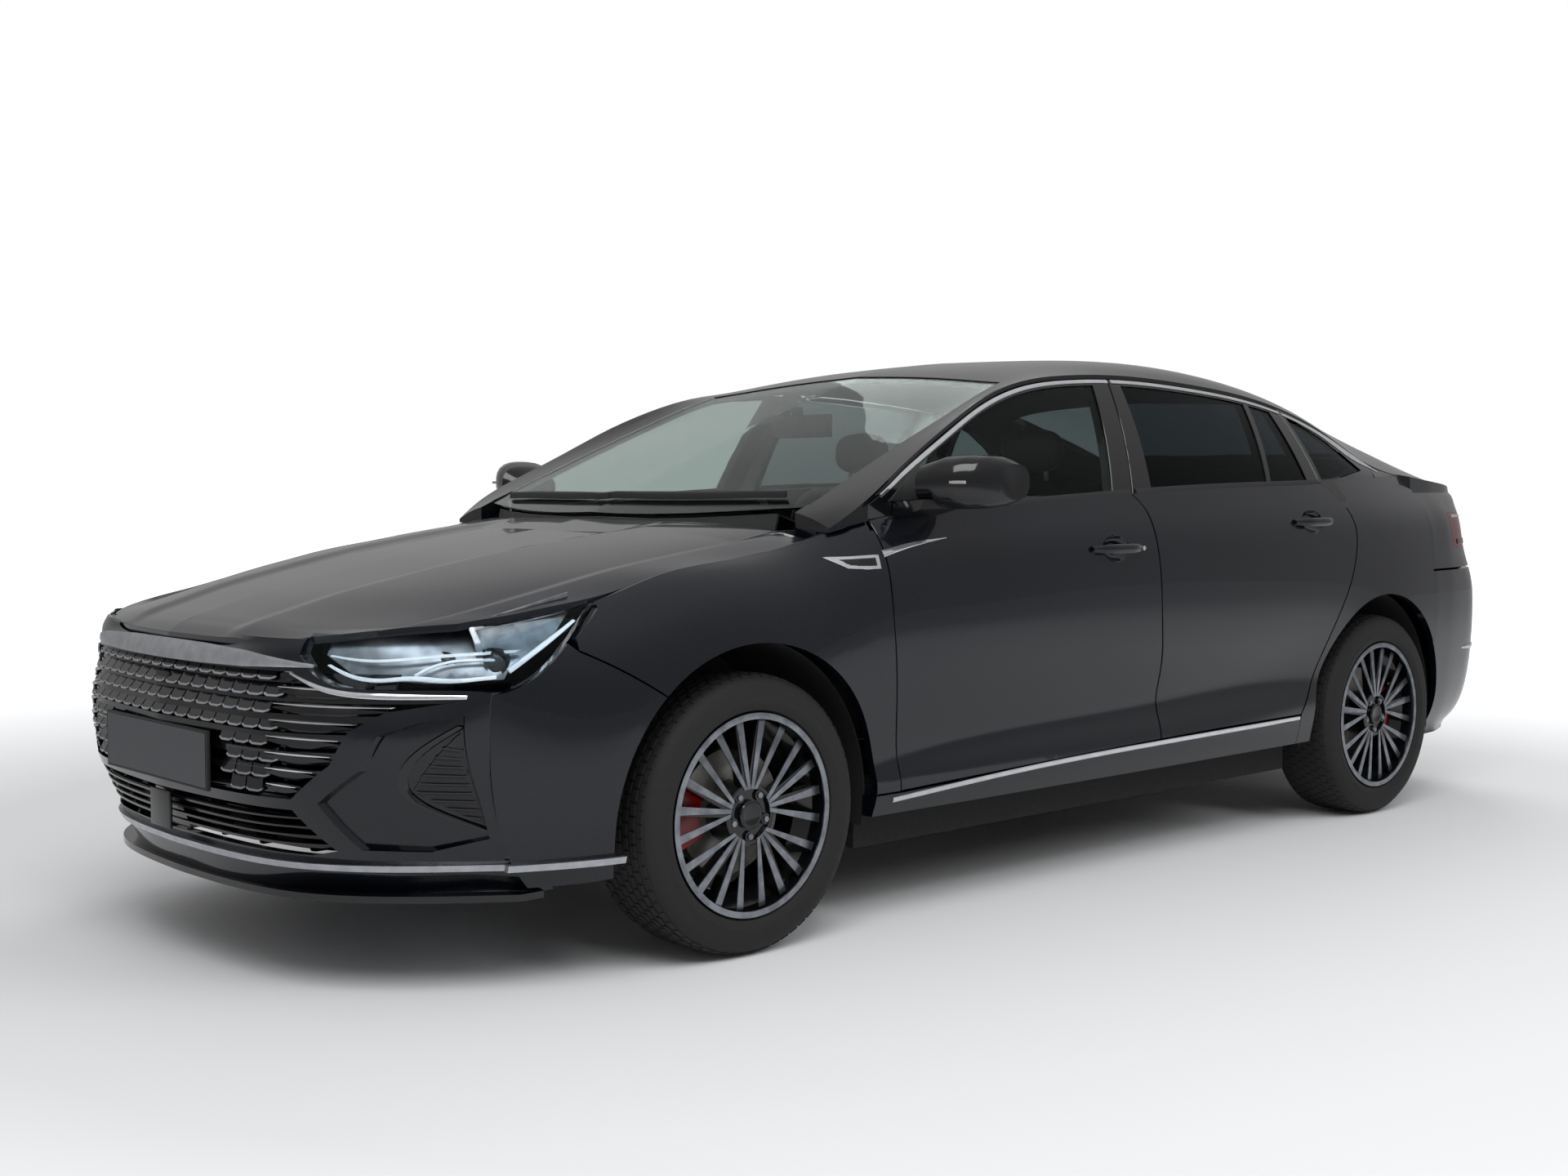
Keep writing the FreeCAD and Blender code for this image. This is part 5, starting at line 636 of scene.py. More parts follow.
def doorParts(frontLine, footLine, rearLine, upperFoot, upperRear, upperFront, windows, spot):
    front, rear = along(frontLine, -halfGap), along(rearLine, halfGap)[::-1]
    foot = [front[-1]] + along(footLine)[1:-1] + [rear[0]]
    # the skin ends where the body side does, under the glass
    topRun = [(x, beltUp(x)) for x in np.linspace(rear[-1][0], front[0][0], 24)]
    skinLoop = loopOf([front, foot, rear, topRun], step)
    skin = panelData(onSide, skinLoop, [cupRing(spot, 1)], panel["skin"])
    inset = panel["doorInset"]
    innerFront = along(frontLine[1:-1], -halfGap - inset)
    innerRear = along(rearLine[1:-1], halfGap + inset)[::-1]
    innerFoot = [(front[-1][0] - inset, front[-1][1] + inset), (rear[0][0] + inset, rear[0][1] + inset)]
    innerTop = [(x, beltUp(x) - .001) for x in np.linspace(innerRear[-1][0], innerFront[0][0], 12)]
    liningLoop = loopOf([innerFront, innerFoot, innerRear, innerTop], step * 2)
    lining = panelData(onSide, liningLoop, [], panel["doorDepth"] - panel["skin"] + .001,
                       panel["skin"] - .001,
                       grid=.04)
    feet = [length * a + shift for a, shift in ((upperFront, -halfGap), (upperFoot, halfGap))]
    frameFoot = [(x, beltUp(x) - panel["beltTuck"]) for x in feet]
    frameTop = roofEdge(length * upperRear + halfGap, feet[0], panel["frameDrop"], 8)
    if upperFront < 0:
        frameFoot[0] = (length * pillarTop[1][0] - halfGap, frameFoot[0][1])
    frameLoop = loopOf([frameFoot, frameTop], step)
    surround = panelData(onCabin, frameLoop, windows, panel["frameDepth"], panel["frameInset"])
    return skin, lining, surround, cupBowl(spot)


doors = {
    "front": doorParts(doorFront, doorFoot, pillarLine, -.0201, -.0385, .1955, [frontWindow],
                       handle["front"]),
    "rear": doorParts(pillarLine, rearDoorFoot, rearDoorLine, -.2300, -.2220, -.0385,
                      [rearWindow, ventWindow], handle["rear"]),
}
for end, parts in doors.items():
    for side, turn in sides:
        body = "door_%s_%s" % (end, side)
        skin, lining, surround, bowl = (turn(part) for part in parts)
        outer = fitted("doorSkin_%s_%s" % (end, side), [skin, bowl], paint, body)
        fitted("doorLining_%s_%s" % (end, side), [lining], mattBlack, body)
        fitted("windowFrame_%s_%s" % (end, side), [surround], glossBlack, body)
        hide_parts(body)
print("doors made")

# Shapes for trim: bars that follow the body, turned forms, lofts and boxes
def bar(place, path, widths, rise, sink=0, base=.002, step=.014, crown=.55):
    path = smoothRun(path, step) if len(path) > 2 else smoothRun([path[0], path[-1]], step)
    steps = np.hypot(*np.diff(path, axis=0).T)
    reach = np.concatenate([[0], np.cumsum(steps)]) / steps.sum()
    widths = np.atleast_1d(np.asarray(widths, float))
    wide = np.interp(reach, np.linspace(0, 1, len(widths)), widths)
    runs = np.gradient(path, axis=0)
    runs /= np.maximum(np.hypot(*runs.T), 1e-9)[:, None]
    across = np.stack([-runs[:, 1], runs[:, 0]], 1)
    outline = ((-.5, -base), (-.5, rise * crown), (-.3, rise), (.3, rise), (.5, rise * crown), (.5, -base))
    rings = [place(path + across * (wide * offset)[:, None], sink - lift) for offset, lift in outline]
    return loft(np.stack(rings, 1))


def wheelPoint(axle, side, u, out, w):   # from the wheel's own plane to the car
    return np.stack([np.asarray(u) + axle, side * (car["track"] + np.asarray(out)),
                     np.asarray(w) + car["hubUp"]], -1)


def turned(axle, side, profile, count=96):   # ring of a profile of (radius, out) points
    turns = turnsOf(count)
    rings = []
    for turn in turns:
        rings.append(wheelPoint(axle, side, [r * math.cos(turn) for r, _ in profile],
                                [o for _, o in profile],
                                [r * math.sin(turn) for r, _ in profile]))
    rings = np.stack(rings)
    rows, width = rings.shape[:2]
    polygons = [(r * width + k, r * width + (k + 1) % width, (r + 1) % rows * width + (k + 1) % width,
                 (r + 1) % rows * width + k) for r in range(rows) for k in range(width)]
    return rings.reshape(-1, 3), polygons


def roundedBox(low, high, radius, steps=4):
    low, high = np.array(low), np.array(high)
    block = bmesh.new()
    bmesh.ops.create_cube(block, size=1)
    for vertex in block.verts:
        vertex.co = Vector((low + high) / 2 + np.array(vertex.co) * (high - low))
    bmesh.ops.bevel(block, geom=list(block.edges), offset=radius, segments=steps, profile=.5,
                    affect="EDGES")
    points = np.array([tuple(v.co) for v in block.verts])
    polygons = [tuple(v.index for v in face.verts) for face in block.faces]
    block.free()
    return points, polygons


def oval(middle, halfLong, halfTall, power=3, count=28):
    ring = []
    for turn in turnsOf(count):
        c, s = math.cos(turn), math.sin(turn)
        grow = (abs(c) ** power + abs(s) ** power) ** (-1 / power)
        ring.append((middle[0] + halfLong * c * grow, middle[1], middle[2] + halfTall * s * grow))
    return ring


# Nodes that stay: some of their faces get another finish
def repaint(node, chooser, material):
    mesh = nodes[node].data
    mesh.materials.append(material)
    count = len(mesh.polygons)
    middles = np.empty(count * 3)
    mesh.polygons.foreach_get("center", middles)
    facing = np.empty(count * 3)
    mesh.polygons.foreach_get("normal", facing)
    picked = chooser(middles.reshape(-1, 3), facing.reshape(-1, 3))
    index = np.empty(count, int)
    mesh.polygons.foreach_get("material_index", index)
    index[picked] = len(mesh.materials) - 1
    mesh.polygons.foreach_set("material_index", index)


areas = {"beltUp": 1.0, "roofUp": 1.30, "screenBack": -1.22, "screenFront": 1.1,
         "cabinMiddle": (-.25, 0, .95),
         "liningUp": 1.02, "liningBack": -1.35, "liningFront": .95, "liningFacing": -.12,
         "plateAhead": 2.3950,
         "plateHalf": .262, "splitterUp": .262, "discRadius": .106, "caliperShift": .08, "caliperOut": .742,
         "barrelOut": .80, "barrelRadius": .155}


def besideCabin(p, n):
    return (p[:, 2] > areas["beltUp"]) & (p[:, 0] > areas["screenBack"]) & (p[:, 0] < areas["screenFront"])


def behindCabin(p, n):
    return (p[:, 2] > areas["roofUp"]) & (p[:, 0] <= areas["screenBack"])


def insideCabin(p, n):   # faces of the roof and pillars that look at the middle of the cabin
    above = (p[:, 2] > areas["liningUp"]) & (p[:, 0] > areas["liningBack"]) & (p[:, 0] < areas["liningFront"])
    return above & (((p - np.array(areas["cabinMiddle"])) * n).sum(1) < areas["liningFacing"])


def onPlate(p, n):
    return (p[:, 0] > areas["plateAhead"]) & (np.abs(p[:, 1]) < areas["plateHalf"])


def fromAxle(p, axle):
    return np.hypot(p[:, 0] - axle, p[:, 2] - car["hubUp"])


def onCaliper(axle, way):   # way is 1 where the caliper sits ahead of the axle
    return lambda p, n: ((fromAxle(p, axle) > areas["discRadius"]) & (np.abs(p[:, 1]) > areas["caliperOut"])
                         & (way * (p[:, 0] - axle) > areas["caliperShift"]))


def onBarrel(axle):
    return lambda p, n: (np.abs(p[:, 1]) < areas["barrelOut"]) & (fromAxle(p, axle) < areas["barrelRadius"])


repaint("body_shell", besideCabin, glossBlack)
repaint("body_shell", behindCabin, glossBlack)
repaint("body_shell", insideCabin, lightTrim)
repaint("grille", onPlate, plateGrey)
repaint("front_splitter", lambda p, n: p[:, 2] < areas["splitterUp"], glossBlack)
repaint("rear_axle", onCaliper(car["rearAxle"], -1), caliperRed)
for side, _ in sides:
    repaint("knuckle_front_" + side, onCaliper(car["frontAxle"], 1), caliperRed)
    for end in ("front", "rear"):
        repaint("wheel_%s_%s" % (end, side), onBarrel(car[end + "Axle"]), brushedSteel)


# Window line, belt seals, handles and door mirrors
brightLine = {"drop": .0195, "width": .010, "rise": .0035, "sunk": .004,
              "tailWidths": [.010, .012, .018, .030, .026, .004],
              "tailEnd": ((-.3120, .7820), (-.3260, .7640))}
beltSeal = {"lift": .004, "width": .016, "rise": .003, "sunk": .002}


def brightBar(name, low, high, widths, body, extra=()):
    path = roofEdge(low * length, high * length, brightLine["drop"], 14) + list(extra)
    for side, turn in sides:
        line = bar(onCabin, path, widths, brightLine["rise"], brightLine["sunk"])
        fitted("%s_%s" % (name, side), [turn(line)], chrome, body.format(side))


brightBar("windowLineFront", .1860, -.0370, brightLine["width"], "door_front_{}")
brightBar("windowLineRear", -.0400, -.2210, brightLine["width"], "door_rear_{}")
brightBar("windowLineTail", -.2240, -.2900, brightLine["tailWidths"], "body", along(brightLine["tailEnd"]))
for end, low, high in (("front", .1600, -.0180), ("rear", -.0235, -.2280)):
    path = [(x, beltUp(x) + beltSeal["lift"]) for x in np.linspace(low * length, high * length, 12)]
    seal = bar(onCabin, path, beltSeal["width"], beltSeal["rise"], beltSeal["sunk"])
    for side, turn in sides:
        fitted("beltSeal_%s_%s" % (end, side), [turn(seal)], mattBlack, "door_%s_%s" % (end, side))


def handleGrip(x0, z0):
    rings = []
    for share in np.linspace(-1, 1, 17):
        x = x0 + share * handle["long"] / 2
        out = float(sideOut(np.array([x]), np.array([z0]))[0])
        lift = handle["proud"] * (1 - abs(share) ** 4) - .004
        tall = handle["tall"] / 2 * (1 - .35 * abs(share) ** 3)
        thick = .007 if abs(share) < .8 else .007 + (abs(share) - .8) * .05
        rings.append([(x, out + lift + thick * math.sin(t) * .9, z0 + tall * math.cos(t))
                      for t in turnsOf(14)])
    return loft(rings)


for end in ("front", "rear"):
    x0, z0 = handle[end]
    for side, turn in sides:
        body = "door_%s_%s" % (end, side)
        fitted("doorHandle_%s_%s" % (end, side), [turn(handleGrip(x0, z0))], paint, body, 50)
        if end == "front":
            out = float(sideOut(np.array([x0 - .085]), np.array([z0]))[0])
            dot = loft([[(x0 - .083 + r * math.cos(t), out + y, z0 + r * math.sin(t))
                         for t in np.arange(20) * math.pi / 10]
                        for r, y in ((.0062, .02), (.0062, .0345), (.005, .0355))])
            fitted("handleSensor_" + side, [turn(dot)], chrome, body)
# each section of the mirror housing: out, rear, front, low and high
mirror = {"sections": (
    (.872, .655, .800, 1.050, 1.120), (.905, .655, .838, 1.040, 1.150), (.950, .625, .824, 1.033, 1.166),
    (1.000, .610, .800, 1.034, 1.168), (1.040, .600, .760, 1.040, 1.163), (1.060, .585, .700, 1.056, 1.145))}


def mirrorHousing():
    rows = np.array(mirror["sections"])
    rings = []
    for y in np.linspace(rows[0, 0], rows[-1, 0], 18):
        rear, front, low, high = (float(np.interp(y, rows[:, 0], rows[:, k])) for k in range(1, 5))
        rings.append(oval(((rear + front) / 2, y, (low + high) / 2), (front - rear) / 2, (high - low) / 2,
                          2.7))
    return loft(rings)


mirrorFoot = loft([[(x, y, z) for x, z in ((.725, low), (.860, low), (.850, high), (.735, high))]
                   for y, low, high in ((.845, 1.010, 1.052), (.900, 1.022, 1.054), (.945, 1.034, 1.058))])
sailLoop = loopOf(straight([(.868, 1.052), (.720, 1.056), (.722, 1.152), (.868, 1.052)]), .012)
sail = panelData(onCabin, sailLoop, [], .02, .001)
mirrorSignal = loft([[(.8075 - .30 * (y - .93) ** 2 * 6 + dx, y, 1.100 + dz)
                      for dx, dz in ((0, -.004), (.004, -.003), (.004, .003), (0, .004))]
                     for y in np.linspace(.93, 1.03, 9)])
for side, turn in sides:
    body = "door_front_" + side
    fitted("mirrorHousing_" + side, [turn(mirrorHousing()), turn(mirrorFoot)], glossBlack, body, 45)
    fitted("mirrorSail_" + side, [turn(sail)], mattBlack, body)
    fitted("mirrorIndicator_" + side, [turn(mirrorSignal)], lightTrim, body)
print("door trim made")

# Sills, blade on the wing and rear bumper strip
sillStrip = bar(onSide, [(.890, .312), (.40, .338), (-.20, .352), (-.93, .360)], .013, .004, 0)
fitted("sillStrips", both(sillStrip), chrome)
blade = [(1.105, .921), (1.045, .893), (.985, .889), (.944, .890), (.944, .924), (1.03, .921)]
bladePlate = panelData(onSide, loopOf(straight(blade + blade[:1]), .006), [], .004, -.003)
innerBlade = [(1.062, .914), (1.035, .900), (.985, .897), (.956, .897), (.956, .917), (1.02, .915)]
bladeField = panelData(onSide, loopOf(straight(innerBlade + innerBlade[:1]), .006), [], .002, -.0042)
spear = bar(onSide, [(.930, .925), (.85, .942), (.705, .960)], [.016, .010, .003], .0035, -.0005)
for side, turn in sides:
    fitted("wingBlade_" + side, [turn(bladePlate)], chrome)
    fitted("wingBladeField_" + side, [turn(bladeField)], glossBlack)
    fitted("doorSpear_" + side, [turn(spear)], chrome, "door_front_" + side)
tailStrip = bar(onTail, [(place * tailReach, .515) for place in np.linspace(.46, .80, 12)],
                [.016, .018, .018, .006], .004, 0)
fitted("rearBumperStrips", both(tailStrip), chrome)


# Front end: trim band, grille cells and spears, plate frame, lower bars, radar cover and the vents in the
# pockets
def acrossNose(points, widths, rise, sink=0, **more):   # both halves in one bar
    mirrored = [(-y, z) for y, z in points[:0:-1]]
    wide = list(np.atleast_1d(widths))
    return bar(onNose, mirrored + list(points), wide[:0:-1] + wide if len(wide) > 1 else wide, rise, sink,
               **more)


trimBand = {"path": ((0, .7255), (.25, .7245), (.42, .7215), (.545, .7150)),
            "widths": [.044, .042, .034, .006],
            "rise": .003, "sunk": -.0005}
fitted("noseTrimBand",
       [acrossNose(trimBand["path"], trimBand["widths"], trimBand["rise"], trimBand["sunk"])], satinGrey)


def mouthHalf(z):   # half width of the upper mouth at a height
    return float(np.interp(z, [.432, .4395, .5115, .5814, .6215, .640, .6525, .6543, .6677, .7018],
                           [.500, .510, .600, .635, .685, .745, .764, .700, .585, .500]))


scale = {"rows": 8, "pitch": .0345, "low": .4400, "wide": .0560, "reach": .46, "lean": .010}
plates, lips, spears, spearEdges = [], [], [], []
for row in range(scale["rows"]):
    low = scale["low"] + row * scale["pitch"]
    top = low + scale["pitch"] * .90
    offset = (row % 2) * scale["wide"] / 2
    side = min(scale["reach"] + .004 * row, mouthHalf((low + top) / 2) - .03)
    for k in range(-9, 10):
        y = k * scale["wide"] + offset
        if abs(y) > side - scale["wide"] * .3 or (abs(y) < .285 and low < .545):
            continue
        near, wide = math.copysign(scale["lean"] * min(abs(y) / .2, 1), y), scale["wide"] * .46
        corners = np.array([(y - wide, top), (y + wide, top), (y + wide + near, low + .004),
                            (y + wide * .55 + near, low),
                            (y - wide * .55 + near, low), (y - wide + near, low + .004)])
        outer = onNose(corners, np.array([.020, .020, .0045, .0030, .0030, .0045]))
        plates.append(loft([outer, outer - np.array([.006, 0, 0])]))
        lipLine = np.array([(y - wide + near, low + .0052), (y - wide * .55 + near, low + .0012),
                            (y + wide * .55 + near, low + .0012),
                            (y + wide + near, low + .0052)])
        lipTop = lipLine + np.array([0, .0042])
        front = onNose(np.concatenate([lipLine, lipTop[::-1]]),
                       np.array([.0040, .0024, .0024, .0040, .0058, .0042, .0042, .0058]))
        lips.append(loft([front, front - np.array([.003, 0, 0])]))
    for way in (1, -1):
        z = (low + top) / 2 - .004
        root, tip = side - .015, mouthHalf(z) - .006
        if tip - root < .04:
            continue
        path = [(way * root, z + .002), (way * (root + tip) / 2, z), (way * tip, z - .002)]
        spears.append(bar(onNose, path, [.006, .026, .024, .004], .010, .016, base=.006))
        edge = [(y, zz + .0085) for y, zz in path]
        spearEdges.append(bar(onNose, edge, [.002, .0055, .0055, .002], .0125, .016, base=.001))
fitted("grilleScales", plates, glossBlack, smoothAngle=20)
fitted("grilleScaleLips", lips, darkChrome, smoothAngle=20)
fitted("grilleSpears", spears, glossBlack)
fitted("grilleSpearEdges", spearEdges, chrome)
rimPath = [(.500, .6990), (.585, .6665), (.700, .6535), (.775, .6505)]
fitted("grilleUpperEdge", both(bar(onNose, rimPath, [.003, .010, .012, .008], .004, -.0005)), chrome)
fitted("grilleCamera", [roundedBox((2.352, -.032, .640), (2.376, .032, .672), .004)], mattBlack)
plateRim = [roundedBox((2.386, *low), (2.3956, *high), .0015, 2) for low, high in (
    ((-.266, .4275), (.266, .4335)), ((-.266, .5545), (.266, .5600)),
    ((-.266, .4300), (-.2602, .5580)), ((.2602, .4300), (.266, .5580)))]
fitted("numberPlateFrame", plateRim, mattBlack)
crossBars = [acrossNose([(0, z), (.30, z), (wide, z + .004)], [.010, .009, .006], .006, .010)
             for z, wide in ((.326, .545), (.346, .540), (.366, .532), (.386, .52))]
fitted("lowerGrilleBars", crossBars, glossBlack)
fitted("radarCover", [roundedBox((2.378, -.052, .314), (2.3855, .052, .400), .003)], glossBlack)
ventLoop = loopOf(straight([(.768, .575), (.772, .372), (.703, .452), (.768, .575)]), .008)
ventPanel = panelData(onNose, ventLoop, [], .003, .012)
louvres = []
for z in np.linspace(.395, .545, 9):
    inner = float(np.interp(z, [.372, .452, .575], [.765, .706, .764]))
    louvres.append(bar(onNose, [(inner + .004, z), (.768, z - .006)], .006, .008, .013))
ventEdge = bar(onNose, [(.776, .360), (.697, .452), (.771, .590)], [.006, .009, .006], .010, .012)
fitted("bumperVents", both(ventPanel), mattBlack)
fitted("bumperVentBlades", bothOf(louvres), glossBlack)
fitted("bumperVentEdges", both(ventEdge), glossBlack)
print("front end made")

# Headlamps: dark bowl, light guides and projectors behind the lens
bowlLoop = loopOf(straight([(.520, .7330), (.585, .6900), (.697, .6760), (.785, .6830), (.785, .760),
                            (.70, .790), (.52, .760),
                            (.520, .7330)]), .014)
lampBowl = panelData(onNose, bowlLoop, [], .003, .055)
sideBowlLoop = loopOf(straight([(1.775, .824), (1.850, .760), (1.945, .695), (2.01, .690), (2.01, .80),
                                (1.775, .860),
                                (1.775, .824)]), .014)
sideBowl = panelData(onSide, sideBowlLoop, [], .003, .050)
guideLow = bar(onNose, [(.560, .7160), (.600, .6960), (.660, .6860), (.695, .6900), (.735, .6840),
                        (.790, .6900)], [.003, .008, .010, .008],
               .004, .019)
guideHigh = bar(onNose, [(.560, .7350), (.640, .7250), (.700, .7320), (.785, .7400)],
                [.003, .006, .007, .006], .004, .019)
guideUp = bar(onNose, [(.700, .6960), (.722, .7190), (.775, .7240)], [.006, .006, .005], .004, .019)
sideGuide = bar(onSide, [(1.965, .700), (1.900, .742), (1.800, .800)], [.010, .009, .004], .004, .019)
fitted("lampBowls", both(lampBowl) + both(sideBowl), lampDark)
fitted("lampGuides", bothOf((guideLow, guideHigh, guideUp, sideGuide)), lampWhite)
projector = {"middles": ((2.055, .690, .708), (1.975, .755, .716)), "axis": (.90, .42, 0), "profile": (
    (-.02, .030), (0, .033), (.008, .033), (.008, .026), (.012, .024), (.018, .018), (.021, .009),
    (.022, .002))}
eyes = []
for middle in np.array(projector["middles"]):
    axis = np.array(projector["axis"])
    axis /= np.linalg.norm(axis)
    aside = np.array([-axis[1], axis[0], 0])
    rings = []
    for ahead, radius in projector["profile"]:
        rings.append([middle + axis * ahead + (aside * math.cos(t) + np.array([0, 0, 1]) * math.sin(t)) * radius
                      for t in turnsOf(28)])
    eyes.append(loft(rings))
fitted("lampProjectors", bothOf(eyes), lampEye, smoothAngle=40)

# Tail lamps: dark lower edge and bright tips on the lens
tailDark = bar(onTail, [(place * tailReach, .600 * height) for place in np.linspace(.40, .79, 12)], .020,
               .003, 0)
tailTip = bar(onTail, [(place * tailReach, .660 * height) for place in np.linspace(.62, .80, 8)],
              [.004, .008, .010], .003, 0)
fitted("tailLampEdges", both(tailDark), glossBlack)
fitted("tailLampTips", both(tailTip), chrome)
print("lamps made")


# Wheels: machined spoke faces, rim lip, cap, bolts and treaded tyres
spoke = {"rootTurn": 9, "tipTurn": 18, "rootRadius": .060, "tipRadius": .2225, "rootWide": .0095,
         "tipWide": .0205, "face": .0882,
         "lift": .0022, "shrink": .97}


def spokePlate(axle, side, fan, step):
    middle = math.radians(fan * 72 + 90)
    corners = []
    for radius, wide, turn, ways in ((spoke["rootRadius"], spoke["rootWide"], spoke["rootTurn"], (-.5, .5)),
                                     (spoke["tipRadius"], spoke["tipWide"], spoke["tipTurn"], (.5, -.5))):
        angle = middle + math.radians(turn * step)
        for way in ways:
            corners.append((radius * math.cos(angle) - way * wide * math.sin(angle),
                            radius * math.sin(angle) + way * wide * math.cos(angle)))
    corners = np.array(corners)
    centre = corners.mean(0)
    rings = []
    for lift, share in ((-.001, 1), (spoke["lift"] / 2, 1), (spoke["lift"], spoke["shrink"])):
        flat, out = centre + (corners - centre) * share, spoke["face"] + lift
        rings.append(wheelPoint(axle, side, flat[:, 0], np.full(4, out), flat[:, 1]))
    return loft(rings)


def tyreProfile():
    shares = [(.232, .080), (.240, .0905), (.2455, .1040), (.258, .1105), (.268, .1120), (.272, .1105),
              (.285, .1108), (.300, .1075),
              (.312, .1015), (.3205, .0905), (.3250, .075), (.3262, .045), (.3262, 0)]
    return shares + [(r, -o) for r, o in shares[-2::-1]] + [(.2302, -.078), (.2302, .078)]


# Geometry Nodes: one cell on every point, turned by its own angles
def scatter(name, spots, turns, cell, material):
    cloud = bpy.data.meshes.new(name)
    cloud.from_pydata([tuple(p) for p in spots], [], [])
    turnField = cloud.attributes.new("cellTurn", "FLOAT_VECTOR", "POINT")
    turnField.data.foreach_set("vector", np.asarray(turns, float).ravel())
    carrier = bpy.data.objects.new(name, cloud)
    bpy.context.scene.collection.objects.link(carrier)
    group = bpy.data.node_groups.new(name + "Nodes", "GeometryNodeTree")
    group.interface.new_socket("Geometry", in_out="INPUT", socket_type="NodeSocketGeometry")
    cellInput = group.interface.new_socket("Cell", in_out="INPUT", socket_type="NodeSocketObject")
    sizeInput = group.interface.new_socket("Cell Size", in_out="INPUT", socket_type="NodeSocketFloat")
    group.interface.new_socket("Geometry", in_out="OUTPUT", socket_type="NodeSocketGeometry")
    source, out = group.nodes.new("NodeGroupInput"), group.nodes.new("NodeGroupOutput")
    cellInfo = addNode(group, "GeometryNodeObjectInfo", {}, {"Object": source.outputs["Cell"]})
    angles = addNode(group, "GeometryNodeInputNamedAttribute",
                     {"data_type": "FLOAT_VECTOR", "Name": "cellTurn"})
    placed = addNode(group, "GeometryNodeInstanceOnPoints", {}, {
        "Points": source.outputs["Geometry"], "Instance": cellInfo.outputs["Geometry"],
        "Rotation": angles.outputs["Attribute"], "Scale": source.outputs["Cell Size"]})
    real = addNode(group, "GeometryNodeRealizeInstances", {}, {"Geometry": placed.outputs["Instances"]})
    dressed = addNode(group, "GeometryNodeSetMaterial", {"Material": material},
                      {"Geometry": real.outputs["Geometry"]})
    group.links.new(dressed.outputs["Geometry"], out.inputs["Geometry"])
    modifier = carrier.modifiers.new("cells", "NODES")
    modifier.node_group = group
    modifier[cellInput.identifier] = cell
    modifier[sizeInput.identifier] = 1.0
    bpy.context.view_layer.update()
    graph = bpy.context.evaluated_depsgraph_get()
    mesh = bpy.data.meshes.new_from_object(carrier.evaluated_get(graph), depsgraph=graph)
    carrier.modifiers.clear()
    carrier.data = mesh
    carrier.name = name
    bpy.data.node_groups.remove(group)
    return carrier


treadCell = meshObject("treadCell", [roundedBox((-.0130, -.0085, -.0018), (.0130, .0085, .0018), .0012, 1)],
                       tyreRubber)
tread = {"around": 66, "rows": (-.083, -.062, -.037, -.0125, .0125, .037, .062, .083)}
for end in ("front", "rear"):
    for side, sign in (("left", 1), ("right", -1)):
        axle, body = car[end + "Axle"], "wheel_%s_%s" % (end, side)
        faces = [spokePlate(axle, sign, fan, step_) for fan in range(5) for step_ in (-1.5, -.5, .5, 1.5)]
        lip = turned(axle, sign,
                     [(.2235, .1005), (.2240, .1036), (.2300, .1042), (.2385, .1034), (.2388, .1010),
                      (.2300, .1000)])
        fitted("spokeFaces_%s_%s" % (end, side), faces + [lip], machinedAlloy, body, 25)
        cap = turned(axle, sign,
                     [(.0005, .0800), (.034, .0800), (.034, .0905), (.031, .0930), (.026, .0935),
                      (.024, .0925), (.0005, .0928)], 40)
        ringPart = turned(axle, sign,
                          [(.064, .078), (.073, .078), (.073, .0865), (.070, .0885), (.062, .0885)], 60)
        wells, bolts = [], []
        for k in range(5):
            turn = math.radians(k * 72 + 90 + 36)
            u, w = .052 * math.cos(turn), .052 * math.sin(turn)
            for radius, low, high, kept, count in ((.0135, .0795, .0862, wells, 20),
                                                   (.0075, .0795, .0895, bolts, 6)):
                ringFlat = [(u + radius * math.cos(t), w + radius * math.sin(t)) for t in turnsOf(count)]
                kept.append(loft([wheelPoint(axle, sign, [p[0] for p in ringFlat], np.full(count, o),
                                             [p[1] for p in ringFlat])
                                  for o in (low, high)]))
        fitted("wheelCap_%s_%s" % (end, side), [cap, ringPart] + wells, glossBlack, body)
        fitted("wheelBolts_%s_%s" % (end, side), bolts, machinedAlloy, body, 20)
        carcass = fitted("tyreCarcass_%s_%s" % (end, side), [turned(axle, sign, tyreProfile())], tyreRubber,
                         body)
        spots, turns = [], []
        for row, across in enumerate(tread["rows"]):
            radius = .3273 - max(abs(across) - .07, 0) * .32
            lean = math.copysign(max(abs(across) - .05, 0) * 9, across)
            for k in range(tread["around"]):
                turn = (k + row * .5) * 2 * math.pi / tread["around"]
                spots.append((axle + radius * math.sin(turn), sign * car["track"] + across,
                              car["hubUp"] + radius * math.cos(turn)))
                turns.append((lean * -.6, turn, 0))
        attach(scatter("tyreTread_%s_%s" % (end, side), spots, turns, treadCell, tyreRubber), body)
        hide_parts("tyre_%s_%s" % (end, side))
bpy.data.objects.remove(treadCell)
print("wheels made")

# Bonnet with its four creases
crease = {"inner": .34, "outer": .68, "deep": .010, "ramp": .030}


def creaseDrop(place, run):
    reach = np.abs(place)
    fade = np.clip(run / .12, 0, 1) * np.clip((1 - run) / .05, 0, 1)
    inner = crease["inner"] + .06 * (1 - run)
    inside = np.clip((inner - reach) / crease["ramp"], 0, 1)
    between = np.clip((reach - inner) / (crease["outer"] - inner), 0, 1)
    outside = np.clip((crease["outer"] + crease["ramp"] - reach) / crease["ramp"], 0, 1)
    return crease["deep"] * fade * np.where(reach < inner, inside, between * outside)


def onCreasedBonnet(flat, sink):
    spot = onBonnet(flat, sink)
    spot[:, 2] -= creaseDrop(flat[:, 1] / bonnetReach, flat[:, 0] / bonnetReach)
    return spot


